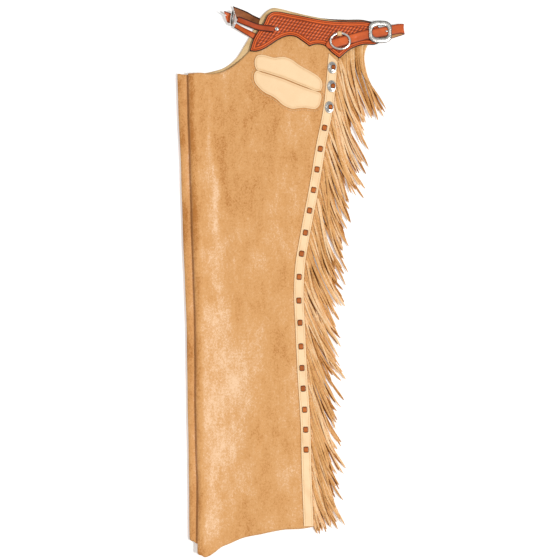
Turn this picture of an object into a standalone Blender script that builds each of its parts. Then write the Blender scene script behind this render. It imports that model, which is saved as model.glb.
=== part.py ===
"""Fringed leather chaps, folded at the centre back and laid flat, one leg on the other.

X runs across the legs, Y from the hem to the waist, Z up from the floor. Tables are in millimetres.
"""
import math
import random

import bmesh
import bpy
import numpy as np

MM = 0.001

# Leather and gaps
LEATHER = 2.0
YOKE_LEATHER = 3.2
STRAP_LEATHER = 2.6
TRIM_LEATHER = 2.0
SEAM_GAP = 0.3
LEG_GAP = 0.8

# A leg is a panel folded at the inseam: its halves lie HALVES apart and open to a roll at the fold
FOLD_RADIUS = 6.0
HALVES = 4.0
ROLL_WIDTH = 55.0
FAR_FRONT_Z = LEATHER / 2 + 0.005
SPLIT_Y = 405.0
WAIST_DROP = 2.0
WAIST_LENGTH = 100.0
YOKE_STEP_Y = 412.0
YOKE_STEP_LENGTH = 14.0
YOKE_FAR_SHIFT = (-6.0, 6.0)
FAR_HEM_SHIFT = 23.8
FAR_EDGE_SHIFT = 2.0
ROWS_BELOW_SPLIT = 14
ROWS_ABOVE_SPLIT = (.24, .45, .72, 1.0)
ROLL_TURNS = (25, 60, 90, 120, 155)
NEAR_ACROSS = (0, .035, .07, .11, .155, .213, .273, .327, .363, .40, .43, .464, .497, .53, .57,
               .66, .74, .84, 1)
FAR_ACROSS = (0, .04, .08, .13, .20, .28, .34, .383, .424, .484, .526, .582, .626, .712, 1)

# Fringe
STRAND_LENGTH = 148.0
STRAND_WIDTH = 7.0
STRAND_TIP_WIDTH = 4.6
STRAND_PITCH = 9.6
STRAND_THICKNESS = 1.2
HEADER_THICKNESS = 1.4
HEADER_WIDTH = 8.0
LANES = 4
LANE_STEP = 1.6
LANE_ORDER = (0, 2, 1, 3)
FRINGE_TOP_Y = 415.0
FRINGE_END_Y = -462.0
STRAND_LENGTH_SPREAD = (0.9, 1.04)
CLUMP_LEAN = 2.2
CLUMP_STRANDS = (3, 6)
STRAND_LEAN = 0.9
STRAND_FALL = 0.9
ROOT_RUN = 8.0
BEND_RUN = 14.0
NEAR_LANE_Z = 7.4
FAR_LANE_Z = 0.95
FAR_HEADER_STEP = {"start_y": 397.0, "length": 16.0, "rise": 3.4}
NEAR_HEADER_SINK = 1.15

# Straps and lace
SIDE_STRAP_WIDTH = 19.0
SIDE_STRAP_Y = {"foot": -466.0, "right_top": 416.5, "left_top": 433.5}
LACE_WIDTH = 9.5
LACE_HEIGHT = 11.5
LACE_THICKNESS = 1.2
CONCHO_WIDTH = 17.0
CONCHO_HEIGHT = 23.0
CONCHO_RISE = 3.2

NEAR_FOLD = {
    "y": (-516, -406, -292, -112, 200, 392),
    "x": (-177.8, -176.5, -179.6, -180.9, -190.2, -195.3),
}
FAR_FOLD = {
    "y": (-494, -361, -256, -123, 156, 234, 335, 394),
    "x": (-193.2, -194.9, -196.5, -198.4, -208.1, -210.5, -214.9, -216.5),
}
OUTSEAM = {
    "y": (-466, -351, -273, -180, -87, -20, 22, 107, 185, 257, 326, 385, 417, 496),
    "x": (42.9, 38.6, 36.9, 31.0, 26.8, 24.1, 25.8, 39.5, 54.3, 66.1, 79.6, 86.1, 88.7, 98.6),
}
HEM = {
    "across": (0, .024, .063, .107, .18, .25, .35, .53, .73, .91, 1),
    "y": (-520.4, -522.5, -521.2, -516.2, -505, -499, -489.6, -481, -472.7, -470.3, -466.8),
}
NEAR_TOP = {
    "across": (0, .05, .142, .213, .273, .327, .363, .40, .43, .464, .497, .53, .57, .66, .74, .84, 1),
    "y": (393, 394.6, 394, 398, 406.6, 418.4, 428.6, 441, 461, 475, 492, 504.6, 508, 504, 500, 494.5, 490),
}
FAR_TOP = {
    "across": (0, .05, .122, .21, .28, .328, .355, .377, .401, .43, .467, .50, .535, .572, .616, .686, .856, 1),
    "y": (394, 394, 395.6, 400.5, 407.5, 417.5, 425, 434.5, 448, 463.5, 487, 504, 515, 520.5, 519, 513.5, 502,
          494),
}
BACK_TOP = {
    "across": (0, .1, .3, .5, .7, .85, 1),
    "y": (393, 390, 365, 345, 350, 372, 396),
}
BACK_ACROSS = (0, .035, .07, .11, .155, .20, .25, .30, .40, .55, .75, 1)
YOKE = {
    "x": (-78.9, -71.1, -63.3, -51.7, -42.9, -34.2, -24.9, -1.7, 21.7, 50.7, 79.6, 108.9,
          149.5, 161.3, 168.9, 170.8, 168.0, 161.3, 137.9, 114.6, 91.4, 75.4, 63.8, 44.8,
          34.6, 21.7, 7.0, -1.7, -10.4, -24.9, -39.5, -54.0, -65.7),
    "y": (436.6, 460.4, 474.1, 490.4, 506.9, 511.9, 512.2, 507.9, 503.7, 497.8, 494.2, 492.9,
          491.3, 487.5, 478.0, 465.7, 453.3, 449.9, 449.0, 441.0, 422.8, 435.3, 446.9, 449.2,
          445.9, 455.6, 464.4, 465.7, 464.4, 457.9, 448.2, 439.7, 436.1),
}
PATCH_UPPER = {
    "x": (-68.2, -63.8, -57.9, -50.7, -40.5, -31.7, -23, -14.2, -2.7, 17.7, 40.9, 51.1, 57.6,
          59.8, 59.1, 55.5, 51.1, 29.3, 7.4, -14.2, -36.3, -55.3, -65.9, -68.8, -69.9),
    "y": (423.9, 429, 430.2, 429.8, 426.9, 424.7, 425.8, 426.2, 423.1, 409.5, 396.3, 389.7, 382.5,
          375.3, 366.5, 361, 360.4, 367.6, 376.2, 384.8, 392, 397.8, 401.2, 407.2, 415.9),
}
PATCH_LOWER = {
    "x": (-65.9, -69.5, -71.1, -69.5, -62.3, -50.7, -36.3, -26, -17.3, -8.5, 3, 14.8, 26.4,
          38, 46.7, 54, 56.8, 58.3, 55.5, 51.1, 29.3, 7.4, -14.2, -36.3, -55.3),
    "y": (399.8, 395.8, 388.4, 378.1, 368, 357.8, 350.6, 343.3, 335.2, 330.2, 326.6, 327.9, 328.7,
          326.6, 326.6, 333.1, 341.8, 351, 357.6, 359.4, 366.6, 375, 383.6, 391, 396.6),
}
CONCHOS = {"x": (77.9, 77.0, 72.4), "y": (405.2, 369.9, 330.0)}
LACE_Y = (291, 251, 212, 173, 134, 92, 52, 8, -37, -79, -124, -165, -204, -244, -282, -320)
FRINGE_ROOTS = {
    "x": (149.9, 132.8, 115.7, 102.5, 94.8),
    "y": (454.4, 453.3, 448.3, 438.7, 427.0),
}
# Strand directions in degrees from +X, against the height of the root
HANG = {
    "y": (-470, -300, -100, 100, 300, 420, 455),
    "angle": (-76, -72, -68, -68, -68, -71, -73),
}
# Straps: path points with height, the turn of the strap about its path in degrees, and the width
BACK_STRAP = {
    "x": (66, 71, 98.6, 123.3, 140.4, 168.9, 189, 202, 210.4, 213.4, 210.6, 203.5, 190, 172, 158),
    "y": (446.3, 447.7, 455.2, 461.9, 466.6, 471.8, 475.8, 478.3, 479.5, 479.2, 478, 476, 472, 467.5, 464),
    "z": (17.4, 17.4, 17.3, 17.2, 17.1, 17, 16.6, 15.6, 13.4, 9.8, 6.2, 4.2, 3.3, 4.7, 4.8),
    "turn": (0, 0, 0, 0, 0, 0, 0, 0, 0, 0, 0, 0, 0, 0, 0),
    "width": (9, 18, 18.5, 18.5, 18.5, 18.5, 19, 19, 19, 19, 19, 19, 19, 19, 19),
}
FRONT_BILLET = {
    "x": (-33.5, -50, -64.8, -83.8, -101.5),
    "y": (477.9, 480, 482.6, 489.6, 496.4),
    "z": (16.4, 16.35, 16.6, 17.7, 19.5),
    "turn": (0, 0, -4, -16, -28),
    "width": (12.5, 12.5, 12.5, 12.5, 12.5),
}
FRONT_CHAPE = {
    "x": (-52, -66.7, -89.5, -106.5),
    "y": (456.5, 464.5, 476.2, 485.6),
    "z": (7.5, 7.7, 10.5, 13.5),
    "turn": (0, 0, 30, 38),
    "width": (11.5, 11.5, 12.5, 12.5),
}
FRONT_STRAP = {
    "x": (-64.2, -76, -88, -106.0),
    "y": (494.8, 499.5, 505, 513.2),
    "z": (9.5, 9.5, 10, 11),
    "turn": (-52, -44, -28, -6),
    "width": (17, 18, 19, 20),
}
FRONT_STRAP_TIP = {
    "x": (-105.2, -112, -120, -124.5),
    "y": (496.4, 499, 501.8, 503.5),
    "z": (16, 16.4, 17, 17.6),
    "turn": (-8, -8, -10, -12),
    "width": (18.4, 18.6, 19, 18),
}
RING_TAB = {
    "x": (91.5, 91.5, 91.5, 91.5, 91.5, 91.5, 91.5),
    "y": (472.5, 472.4, 471.9, 468.6, 465.3, 464.9, 464.9),
    "z": (16, 19, 23.2, 25.6, 23.2, 19, 16),
    "turn": (0, 0, 0, 0, 0, 0, 0),
    "width": (8.5, 8.5, 8.5, 8.5, 8.5, 8.5, 8.5),
}
TAB_LEATHER = 1.4
BILLET_LEATHER = 2.2
BELT_LEATHER = 2.4

# Hardware
RING_CENTRE = (93.1, 454.4, 21.4)
RING_SIZE = (36.8, 29.6)
RING_WIRE = 4.4
REAR_BUCKLE_CENTRE = (168.9, 472.3, 20.7)
REAR_BUCKLE_SIZE = (36.7, 32.1)
REAR_BUCKLE_BAR = (6.4, 3.6)
REAR_BUCKLE_END_BAR = 10.4
FRONT_BUCKLE_CENTRE = (-111.2, 498.6, 16.2)
FRONT_BUCKLE_SIZE = (28.5, 25.0)
FRONT_BUCKLE_BAR = (3.6, 3.2)
FRONT_BUCKLE_LEAN = 6.0
RIVET_CENTRE = (-27.2, 478.8)
RIVET_RADIUS = 4.0
RIVET_RISE = 1.8
PEG = {"centre": (181.1, 473.6), "base": 18.9, "size": (4.6, 3.4), "rise": 2.2}
PRONG = {"centre": (-128.8, 507.2), "base": 19.4, "size": (16.0, 2.2), "rise": 1.8, "turn": -35.5}
CONCHO_LACE = {"offset": (2.4, 0.2), "size": (8.5, 9.5), "rise": 2.2}

COLOURS = {
    "suede": ((0.72, 0.42, 0.18), 0.95, 0.0),
    "pale_leather": ((0.95, 0.72, 0.44), 0.55, 0.0),
    "tooled_leather": ((0.52, 0.09, 0.02), 0.5, 0.0),
    "strap_leather": ((0.62, 0.14, 0.03), 0.5, 0.0),
    "lace": ((0.58, 0.16, 0.03), 0.6, 0.0),
    "silver": ((0.86, 0.85, 0.82), 0.18, 1.0),
}


def clear_scene():
    """Remove the objects of the file that is open."""
    for item in list(bpy.data.objects):
        bpy.data.objects.remove(item)


def material(name):
    """A Principled material from the table of colours."""
    made = bpy.data.materials.get(name)
    if made is None:
        colour, roughness, metallic = COLOURS[name]
        made = bpy.data.materials.new(name)
        made.use_nodes = True
        shader = made.node_tree.nodes["Principled BSDF"]
        shader.inputs["Base Color"].default_value = (*colour, 1)
        shader.inputs["Roughness"].default_value = roughness
        shader.inputs["Metallic"].default_value = metallic
    return made


def add_object(name, points, faces, finish):
    """An object from points in millimetres, its faces turned outwards and shaded smooth."""
    mesh = bpy.data.meshes.new(name)
    mesh.from_pydata([tuple(p) for p in np.asarray(points, float) * MM], [], faces)
    work = bmesh.new()
    work.from_mesh(mesh)
    bmesh.ops.recalc_face_normals(work, faces=work.faces)
    work.to_mesh(mesh)
    work.free()
    mesh.shade_smooth()
    mesh.set_sharp_from_angle(angle=math.radians(40))
    made = bpy.data.objects.new(name, mesh)
    made.data.materials.append(material(finish))
    bpy.context.collection.objects.link(made)
    return made


def curve(table, x, value="x", along="y"):
    """The smooth curve through a table's points: a cubic Hermite with finite-difference slopes."""
    knots = np.asarray(table[along], float)
    values = np.asarray(table[value], float)
    slopes = np.gradient(values, knots)
    x = np.clip(np.asarray(x, float), knots[0], knots[-1])
    k = np.clip(np.searchsorted(knots, x) - 1, 0, len(knots) - 2)
    step = knots[k + 1] - knots[k]
    t = (x - knots[k]) / step
    start = (1 + 2 * t) * (1 - t) ** 2 * values[k] + t * (1 - t) ** 2 * step * slopes[k]
    return start + t**2 * (3 - 2 * t) * values[k + 1] + t**2 * (t - 1) * step * slopes[k + 1]


def ease(t):
    """0 to 1 with level ends."""
    t = np.clip(t, 0, 1)
    return t * t * (3 - 2 * t)


def fold_centre(fold, y):
    """X of the axis of a leg's inseam roll."""
    return curve(fold, y) + FOLD_RADIUS + LEATHER / 2


def roll_opening(fold, x, y):
    """Distance between the two halves of a leg: open at the roll, closing over ROLL_WIDTH."""
    inward = (x - fold_centre(fold, y)) / ROLL_WIDTH
    return 2 * FOLD_RADIUS - (2 * FOLD_RADIUS - HALVES) * ease(inward)


def far_front_z(x, y):
    """Lower leg, half on the floor: flat, and stepping up over the lower yoke."""
    return FAR_FRONT_Z + (YOKE_LEATHER + SEAM_GAP) * ease((y - YOKE_STEP_Y) / YOKE_STEP_LENGTH)


def far_back_z(x, y):
    return FAR_FRONT_Z + roll_opening(FAR_FOLD, x, y)


def near_back_z(x, y):
    return far_back_z(x, y) + LEATHER + LEG_GAP


def panel_drop(y):
    """How far the upper front sinks towards the waist: straight down from SPLIT_Y."""
    return WAIST_DROP * np.maximum(np.asarray(y, float) - SPLIT_Y, 0) / WAIST_LENGTH


def soft_folds(x, y):
    """Low creases of the upper front: two long ones beside the roll and slanting ones at the knee."""
    inward = x - fold_centre(NEAR_FOLD, y)
    fade = ease((inward - 30) / 40) * ease((150 - inward) / 40) * ease((330 - y) / 90)
    knee = 1.3 * np.exp(-((inward - 62 - 0.10 * y) / 17) ** 2) * np.exp(-((y - 60) / 190) ** 2)
    calf = 1.6 * np.exp(-((inward - 98 + 0.06 * (y + 250)) / 15) ** 2) * np.exp(-((y + 270) / 150) ** 2)
    hem = 1.2 * np.exp(-((inward - 48) / 14) ** 2) * np.exp(-((y + 480) / 120) ** 2)
    return fade * (knee + calf + hem)


def near_front_z(x, y):
    flat = near_back_z(x, y) + roll_opening(NEAR_FOLD, x, y)
    return flat - panel_drop(y) + soft_folds(x, y)


def panel_top(y):
    """Top of the upper front away from its roll, where the trim lies."""
    level = FAR_FRONT_Z + 2 * HALVES + LEATHER + LEG_GAP
    return level - panel_drop(y) + LEATHER / 2


def thicken(sheet, thickness):
    """Give a sheet its wall, half to each side."""
    wall = sheet.modifiers.new("wall", "SOLIDIFY")
    wall.thickness = thickness * MM
    wall.offset = 0
    wall.use_even_offset = True


def grid_faces(columns, rows):
    index = np.arange(columns * rows).reshape(columns, rows)
    corners = (index[:-1, :-1], index[1:, :-1], index[1:, 1:], index[:-1, 1:])
    return np.stack(corners, -1).reshape(-1, 4).tolist()


def build_leg(name, fold, tops, front_z, back_z, hem_shift, edge_shift, across):
    """One leg: a panel from its front outseam edge, across, round the roll and back across."""
    low = np.linspace(0, 1, ROWS_BELOW_SPLIT)
    high = np.array(ROWS_ABOVE_SPLIT)

    def column(u, top_table):
        top = curve(top_table, u, "y", "across")
        hem = curve(HEM, u, "y", "across") + hem_shift * (1 - 0.6 * u)
        split = min(SPLIT_Y, top - 12)
        return np.concatenate((hem + low * (split - hem), split + high * (top - split)))

    def across_x(u, y):
        centre = fold_centre(fold, y)
        return centre + u * (curve(OUTSEAM, y) - edge_shift - centre)

    points = []
    for u in reversed(across):
        y = column(u, tops)
        x = across_x(u, y)
        points.append(np.stack((x, y, front_z(x, y)), -1))
    y = column(0, tops)
    centre_x = fold_centre(fold, y)
    front_edge = front_z(centre_x, y)
    back_edge = back_z(centre_x, y)
    for turn in np.radians(ROLL_TURNS):
        x = centre_x - FOLD_RADIUS * math.sin(turn)
        z = (front_edge + back_edge) / 2 + (front_edge - back_edge) / 2 * math.cos(turn)
        points.append(np.stack((x, y, z), -1))
    for u in BACK_ACROSS:
        y = column(u, BACK_TOP)
        x = across_x(u, y)
        points.append(np.stack((x, y, back_z(x, y)), -1))
    grid = np.array(points)
    made = add_object(name, grid.reshape(-1, 3), grid_faces(*grid.shape[:2]), "suede")
    thicken(made, LEATHER)
    return made


def build_legs():
    build_leg("leg_near", NEAR_FOLD, NEAR_TOP, near_front_z, near_back_z, 0, 0, NEAR_ACROSS)
    build_leg("leg_far", FAR_FOLD, FAR_TOP, far_front_z, far_back_z, FAR_HEM_SHIFT, FAR_EDGE_SHIFT,
              FAR_ACROSS)


def build_plate(name, outline, base, thickness, finish, shift=(0, 0)):
    """A flat piece with upright edges: its outline, cut where the panel starts to sink, set on base(y)."""
    work = bmesh.new()
    corners = [
        work.verts.new((x + shift[0], y + shift[1], 0)) for x, y in zip(outline["x"], outline["y"])
    ]
    work.faces.new(corners)
    bmesh.ops.bisect_plane(
        work, geom=work.verts[:] + work.edges[:] + work.faces[:], dist=0.01,
        plane_co=(0, SPLIT_Y, 0), plane_no=(0, 1, 0),
    )
    lower = work.verts[:]
    grown = bmesh.ops.extrude_face_region(work, geom=work.faces[:], use_keep_orig=True)
    upper = [item for item in grown["geom"] if isinstance(item, bmesh.types.BMVert)]
    for vertex in lower:
        vertex.co.z = base(vertex.co.y)
    for vertex in upper:
        vertex.co.z = base(vertex.co.y) + thickness
    work.verts.index_update()
    points = [tuple(v.co) for v in work.verts]
    faces = [[v.index for v in face.verts] for face in work.faces]
    work.free()
    return add_object(name, points, faces, finish)


def build_side_strap():
    """The strip over the outseam, from the hem to the point of the yoke, which its top edge follows."""
    rows = np.linspace(SIDE_STRAP_Y["foot"], SPLIT_Y, 24)
    y_right = np.append(rows, SIDE_STRAP_Y["right_top"])
    y_left = np.append(rows, SIDE_STRAP_Y["left_top"])
    right = curve(OUTSEAM, y_right)
    left = curve(OUTSEAM, y_left) - SIDE_STRAP_WIDTH
    points = []
    for x, y in ((left, y_left), (right, y_right)):
        for rise in (SEAM_GAP, SEAM_GAP + TRIM_LEATHER):
            points.append(np.stack((x, y, panel_top(y) + rise), -1))
    low_left, high_left, low_right, high_right = points
    section = np.stack((low_left, high_left, high_right, low_right), 1)
    return add_loft("side_strap", section, "pale_leather")


def add_loft(name, sections, finish):
    """A closed solid through a row of sections with the same number of corners."""
    count, corners = sections.shape[:2]
    index = np.arange(count * corners).reshape(count, corners)
    after = np.roll(index, -1, axis=1)
    sides = np.stack((index[:-1], after[:-1], after[1:], index[1:]), -1).reshape(-1, 4).tolist()
    ends = [index[0].tolist(), index[-1][::-1].tolist()]
    return add_object(name, sections.reshape(-1, 3), sides + ends, finish)


def strap_sections(table, thickness, steps=1):
    """Rectangles along a path: the width lies level and is turned about the path by turn degrees."""
    knots = np.arange(len(table["x"]), dtype=float)
    at = np.linspace(0, knots[-1], int(knots[-1]) * steps + 1)
    rows = {key: curve({"k": knots, "v": table[key]}, at, "v", "k") for key in table}
    path = np.stack((rows["x"], rows["y"], rows["z"]), -1)
    along = np.gradient(path, axis=0)
    along /= np.linalg.norm(along, axis=1)[:, None]
    runs_level = np.hypot(along[:, 0], along[:, 1]) > 0.6
    heading = np.arctan2(along[:, 1], along[:, 0]) % math.pi
    heading = np.interp(at, at[runs_level], heading[runs_level])
    level = np.stack((-np.sin(heading), np.cos(heading), 0 * heading), -1)
    up = np.cross(along, level)
    turn = np.radians(rows["turn"])[:, None]
    wide = level * np.cos(turn) + up * np.sin(turn)
    thick = up * np.cos(turn) - level * np.sin(turn)
    half = rows["width"][:, None] / 2
    deep = thickness / 2
    corners = (-wide * half - thick * deep, wide * half - thick * deep,
               wide * half + thick * deep, -wide * half + thick * deep)
    return np.stack([path + corner for corner in corners], 1)


def build_strap(name, table, thickness, finish, steps=1):
    return add_loft(name, strap_sections(table, thickness, steps), finish)


def build_loop(name, centre, size, bar, sides, round_power, lean=None, end_bar=None):
    """A bar bent to a closed loop: a superellipse of the given size, upright when lean is given.

    bar is its width and height, and end_bar its width at the loop's top and bottom where that differs.
    """
    turn = np.linspace(0, 2 * math.pi, sides, endpoint=False)
    power = 2 / round_power
    cosine = np.cos(turn)
    sine = np.sin(turn)
    flat = np.stack((
        np.sign(cosine) * np.abs(cosine) ** power * size[0] / 2,
        np.sign(sine) * np.abs(sine) ** power * size[1] / 2,
        np.zeros(sides)), -1)
    along = np.roll(flat, -1, axis=0) - np.roll(flat, 1, axis=0)
    along /= np.linalg.norm(along, axis=1)[:, None]
    out = np.cross(along, (0, 0, 1.0))
    around = np.radians(np.arange(8) * 45 + 22.5)
    width = bar[0] + ((end_bar or bar[0]) - bar[0]) * ease(abs(flat[:, 1]) / (size[1] / 2))
    wide = width / 2 / math.cos(math.radians(22.5))
    deep = bar[1] / 2 / math.cos(math.radians(22.5))
    section = (
        flat[:, None]
        + out[:, None] * (wide[:, None] * np.cos(around))[..., None]
        + np.array((0, 0, 1.0)) * (np.sin(around) * deep)[None, :, None]
    )
    if lean is not None:
        tilt = math.radians(lean)
        x, y, z = section[..., 0], section[..., 1], section[..., 2]
        section = np.stack((z + y * math.sin(tilt), y * math.cos(tilt), x), -1)
    points = (section + np.array(centre)).reshape(-1, 3)
    index = np.arange(sides * 8).reshape(sides, 8)
    ahead = np.roll(index, -1, axis=0)
    faces = np.stack((index, np.roll(index, -1, 1), np.roll(ahead, -1, 1), ahead), -1).reshape(-1, 4)
    return add_object(name, points, faces.tolist(), "silver")


def build_dome(name, centre, base, size, rings, sides, finish, power=2.0, turn=0.0):
    """A solid of stacked outlines: rings gives each one's share of the size and its height."""
    around = np.linspace(0, 2 * math.pi, sides, endpoint=False)
    cosine = np.cos(around)
    sine = np.sin(around)
    x = np.sign(cosine) * np.abs(cosine) ** (2 / power) * size[0] / 2
    y = np.sign(sine) * np.abs(sine) ** (2 / power) * size[1] / 2
    spin = math.radians(turn)
    x, y = x * math.cos(spin) - y * math.sin(spin), x * math.sin(spin) + y * math.cos(spin)
    sections = np.stack([
        np.stack((centre[0] + x * share, centre[1] + y * share, np.full(sides, base + height)), -1)
        for share, height in rings
    ])
    return add_loft(name, sections, finish)


def strap_axis(y):
    """Centre and lean in degrees of the side strap at a height."""
    centre = float(curve(OUTSEAM, y)) - SIDE_STRAP_WIDTH / 2
    slope = float(curve(OUTSEAM, y + 10) - curve(OUTSEAM, y - 10)) / 20
    return centre, -math.degrees(math.atan(slope))


def build_strap_trim():
    """Conchos with their lace knots, and the squares of lace down the strap."""
    top = float(panel_top(0)) + SEAM_GAP + TRIM_LEATHER + SEAM_GAP
    dome = ((0.93, 0), (1, 0.5), (0.86, 1.6), (0.55, CONCHO_RISE - 0.4), (0.2, CONCHO_RISE))
    knot = ((1, 0), (1, 1.2), (0.7, CONCHO_LACE["rise"]))
    beside = CONCHO_LACE["offset"]
    for number, (x, y) in enumerate(zip(CONCHOS["x"], CONCHOS["y"]), 1):
        build_dome(f"concho_{number}", (x, y), top, (CONCHO_WIDTH, CONCHO_HEIGHT), dome, 14, "silver")
        build_dome(f"concho_lace_{number}", (x + beside[0], y + beside[1]),
                   top + CONCHO_RISE + SEAM_GAP, CONCHO_LACE["size"], knot, 8, "lace", 3.0)
    square = ((1, 0), (1, 0.7), (0.82, LACE_THICKNESS))
    for number, y in enumerate(LACE_Y, 1):
        x, lean = strap_axis(y)
        build_dome(f"lace_{number:02d}", (x, y), top, (LACE_WIDTH, LACE_HEIGHT), square, 8, "lace",
                   8.0, lean)


def fringe_roots(edge_out, lift):
    """Plan points STRAND_PITCH apart along the fringe's cut line, from under the yoke to the hem."""
    y = np.arange(FRINGE_TOP_Y, FRINGE_END_Y, -4.0)
    seam_x = curve(OUTSEAM, y) + edge_out
    top_x = np.array(FRINGE_ROOTS["x"]) - 1 + edge_out
    top_y = np.array(FRINGE_ROOTS["y"]) + lift
    x = np.concatenate((top_x, seam_x))
    y = np.concatenate((top_y, y))
    run = np.concatenate(((0,), np.cumsum(np.hypot(np.diff(x), np.diff(y)))))
    at = np.arange(0, run[-1], STRAND_PITCH / 2)
    return np.stack((np.interp(at, run, x), np.interp(at, run, y)), -1)


def build_fringe(name, edge_out, lift, header_z, lane_z, seed):
    """A narrow header with every strand grown from its outer edge.

    Neighbouring strands lie in different layers, LANE_STEP apart, so that none cuts another. header_z
    gives the header's middle height at a Y, and lane_z is the middle height of the lowest layer.
    """
    rng = random.Random(seed)
    marks = fringe_roots(edge_out, lift)
    along = np.gradient(marks, axis=0)
    along /= np.linalg.norm(along, axis=1)[:, None]
    outward = np.stack((-along[:, 1], along[:, 0]), -1)
    inner = marks - outward * HEADER_WIDTH
    height = header_z(marks[:, 1])
    deep = HEADER_THICKNESS / 2
    points = []
    faces = []

    def add(plan, z):
        points.append((plan[0], plan[1], z))
        return len(points) - 1

    gap = 1 - STRAND_WIDTH / STRAND_PITCH
    stations = []
    for k in range(0, len(marks) - 2, 2):
        stations.append((k, marks[k] + (marks[k + 2] - marks[k]) * gap, True))
        stations.append((k + 2, marks[k + 2], False))
    first = (0, marks[0], False)
    rows = [first] + stations
    rings = []
    for mark, outer, opens in rows:
        z = float(height[mark])
        ring = (add(inner[mark], z - deep), add(outer, z - deep), add(outer, z + deep),
                add(inner[mark], z + deep))
        rings.append((ring, opens))
    for previous_ring, (b, opens) in zip(rings, rings[1:]):
        a = previous_ring[0]
        faces.append((a[0], a[1], b[1], b[0]))
        faces.append((a[2], a[3], b[3], b[2]))
        faces.append((a[3], a[0], b[0], b[3]))
        if opens:
            faces.append((a[1], a[2], b[2], b[1]))
    faces.append(rings[0][0][::-1])
    faces.append(rings[-1][0])
    clump = 0.0
    left_in_clump = 0
    for strand, position in enumerate(range(1, len(rings) - 1, 2)):
        a, b = rings[position][0], rings[position + 1][0]
        start = (np.array(points[a[1]]) + np.array(points[b[1]])) / 2
        normal = outward[2 * strand + 1]
        root_angle = math.degrees(math.atan2(normal[1], normal[0]))
        root_angle = min(max(root_angle, -100), 12)
        if left_in_clump == 0:
            clump = rng.uniform(-CLUMP_LEAN, CLUMP_LEAN)
            left_in_clump = rng.randint(*CLUMP_STRANDS)
        left_in_clump -= 1
        hang = float(curve(HANG, start[1], "angle")) + clump + rng.uniform(-STRAND_LEAN, STRAND_LEAN)
        room = max((start[1] - FRINGE_END_Y + STRAND_WIDTH) / STRAND_FALL, 2 * STRAND_WIDTH)
        longest = STRAND_LENGTH * rng.uniform(*STRAND_LENGTH_SPREAD)
        length = min(longest, room * rng.uniform(0.9, 1.0))
        lane = lane_z + LANE_STEP * LANE_ORDER[strand % LANES]
        first_run = min(ROOT_RUN, length * 0.4)
        second_run = min(BEND_RUN, length * 0.3)
        rest = length - first_run - second_run
        angles = (root_angle * 0.6 + hang * 0.4, root_angle * 0.1 + hang * 0.9, hang)
        spot = start[:2].copy()
        previous = (a[1], a[2], b[2], b[1])
        widths = (STRAND_WIDTH, STRAND_WIDTH, STRAND_TIP_WIDTH)
        for step, (run, angle) in enumerate(zip((first_run, second_run, rest), angles)):
            heading = np.array((math.cos(math.radians(angle)), math.sin(math.radians(angle))))
            spot = spot + heading * run
            ahead = angles[min(step + 1, 2)]
            facing = math.radians((angle + ahead) / 2)
            wide = np.array((-math.sin(facing), math.cos(facing))) * widths[step] / 2
            low = lane - STRAND_THICKNESS / 2
            high = lane + STRAND_THICKNESS / 2
            ring = (add(spot + wide, low), add(spot + wide, high), add(spot - wide, high),
                    add(spot - wide, low))
            for side in range(4):
                after = (side + 1) % 4
                faces.append((previous[side], previous[after], ring[after], ring[side]))
            previous = ring
        faces.append(previous)
    return add_object(name, points, faces, "suede")


def build_fringes():
    far_seam = FAR_FRONT_Z + HALVES / 2
    near_seam = far_seam + HALVES + LEATHER + LEG_GAP

    def far_header(y):
        step = FAR_HEADER_STEP
        return far_seam + step["rise"] * ease((y - step["start_y"]) / step["length"])

    def near_header(y):
        return near_seam - NEAR_HEADER_SINK * panel_drop(y)

    build_fringe("fringe_near", 1.0, 0.0, near_header, NEAR_LANE_Z, 11)
    build_fringe("fringe_far", -1.0, 2.5, far_header, FAR_LANE_Z, 29)


def yoke_base(y):
    return panel_top(y) + SEAM_GAP


def build_hardware():
    build_loop("hip_ring", RING_CENTRE, RING_SIZE, (RING_WIRE, RING_WIRE), 20, 2.0)
    build_loop("rear_buckle", REAR_BUCKLE_CENTRE, REAR_BUCKLE_SIZE, REAR_BUCKLE_BAR, 24, 2.9,
               end_bar=REAR_BUCKLE_END_BAR)
    build_loop("front_buckle", FRONT_BUCKLE_CENTRE, FRONT_BUCKLE_SIZE, FRONT_BUCKLE_BAR, 20, 2.6,
               FRONT_BUCKLE_LEAN)
    rivet = ((1, 0), (1, 0.6), (0.75, 1.4), (0.35, RIVET_RISE))
    rivet_base = float(yoke_base(RIVET_CENTRE[1] - RIVET_RADIUS)) + YOKE_LEATHER + SEAM_GAP
    size = (2 * RIVET_RADIUS, 2 * RIVET_RADIUS)
    build_dome("front_rivet", RIVET_CENTRE, rivet_base, size, rivet, 10, "silver")
    peg = ((1, 0), (1, 0.7 * PEG["rise"]), (0.7, PEG["rise"]))
    build_dome("rear_buckle_tongue", PEG["centre"], PEG["base"], PEG["size"], peg, 8, "silver", 4.0)
    prong = ((1, 0), (1, PRONG["rise"]))
    build_dome("front_buckle_tongue", PRONG["centre"], PRONG["base"], PRONG["size"], prong, 8,
               "silver", 4.0, PRONG["turn"])


def build_straps():
    build_strap("back_strap", BACK_STRAP, STRAP_LEATHER, "strap_leather")
    build_strap("front_billet", FRONT_BILLET, BILLET_LEATHER, "strap_leather", 2)
    build_strap("front_chape", FRONT_CHAPE, BILLET_LEATHER, "strap_leather", 3)
    build_strap("front_strap", FRONT_STRAP, BELT_LEATHER, "strap_leather", 4)
    build_strap("front_strap_tip", FRONT_STRAP_TIP, BELT_LEATHER, "strap_leather")
    build_strap("ring_tab", RING_TAB, TAB_LEATHER, "pale_leather")


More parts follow.
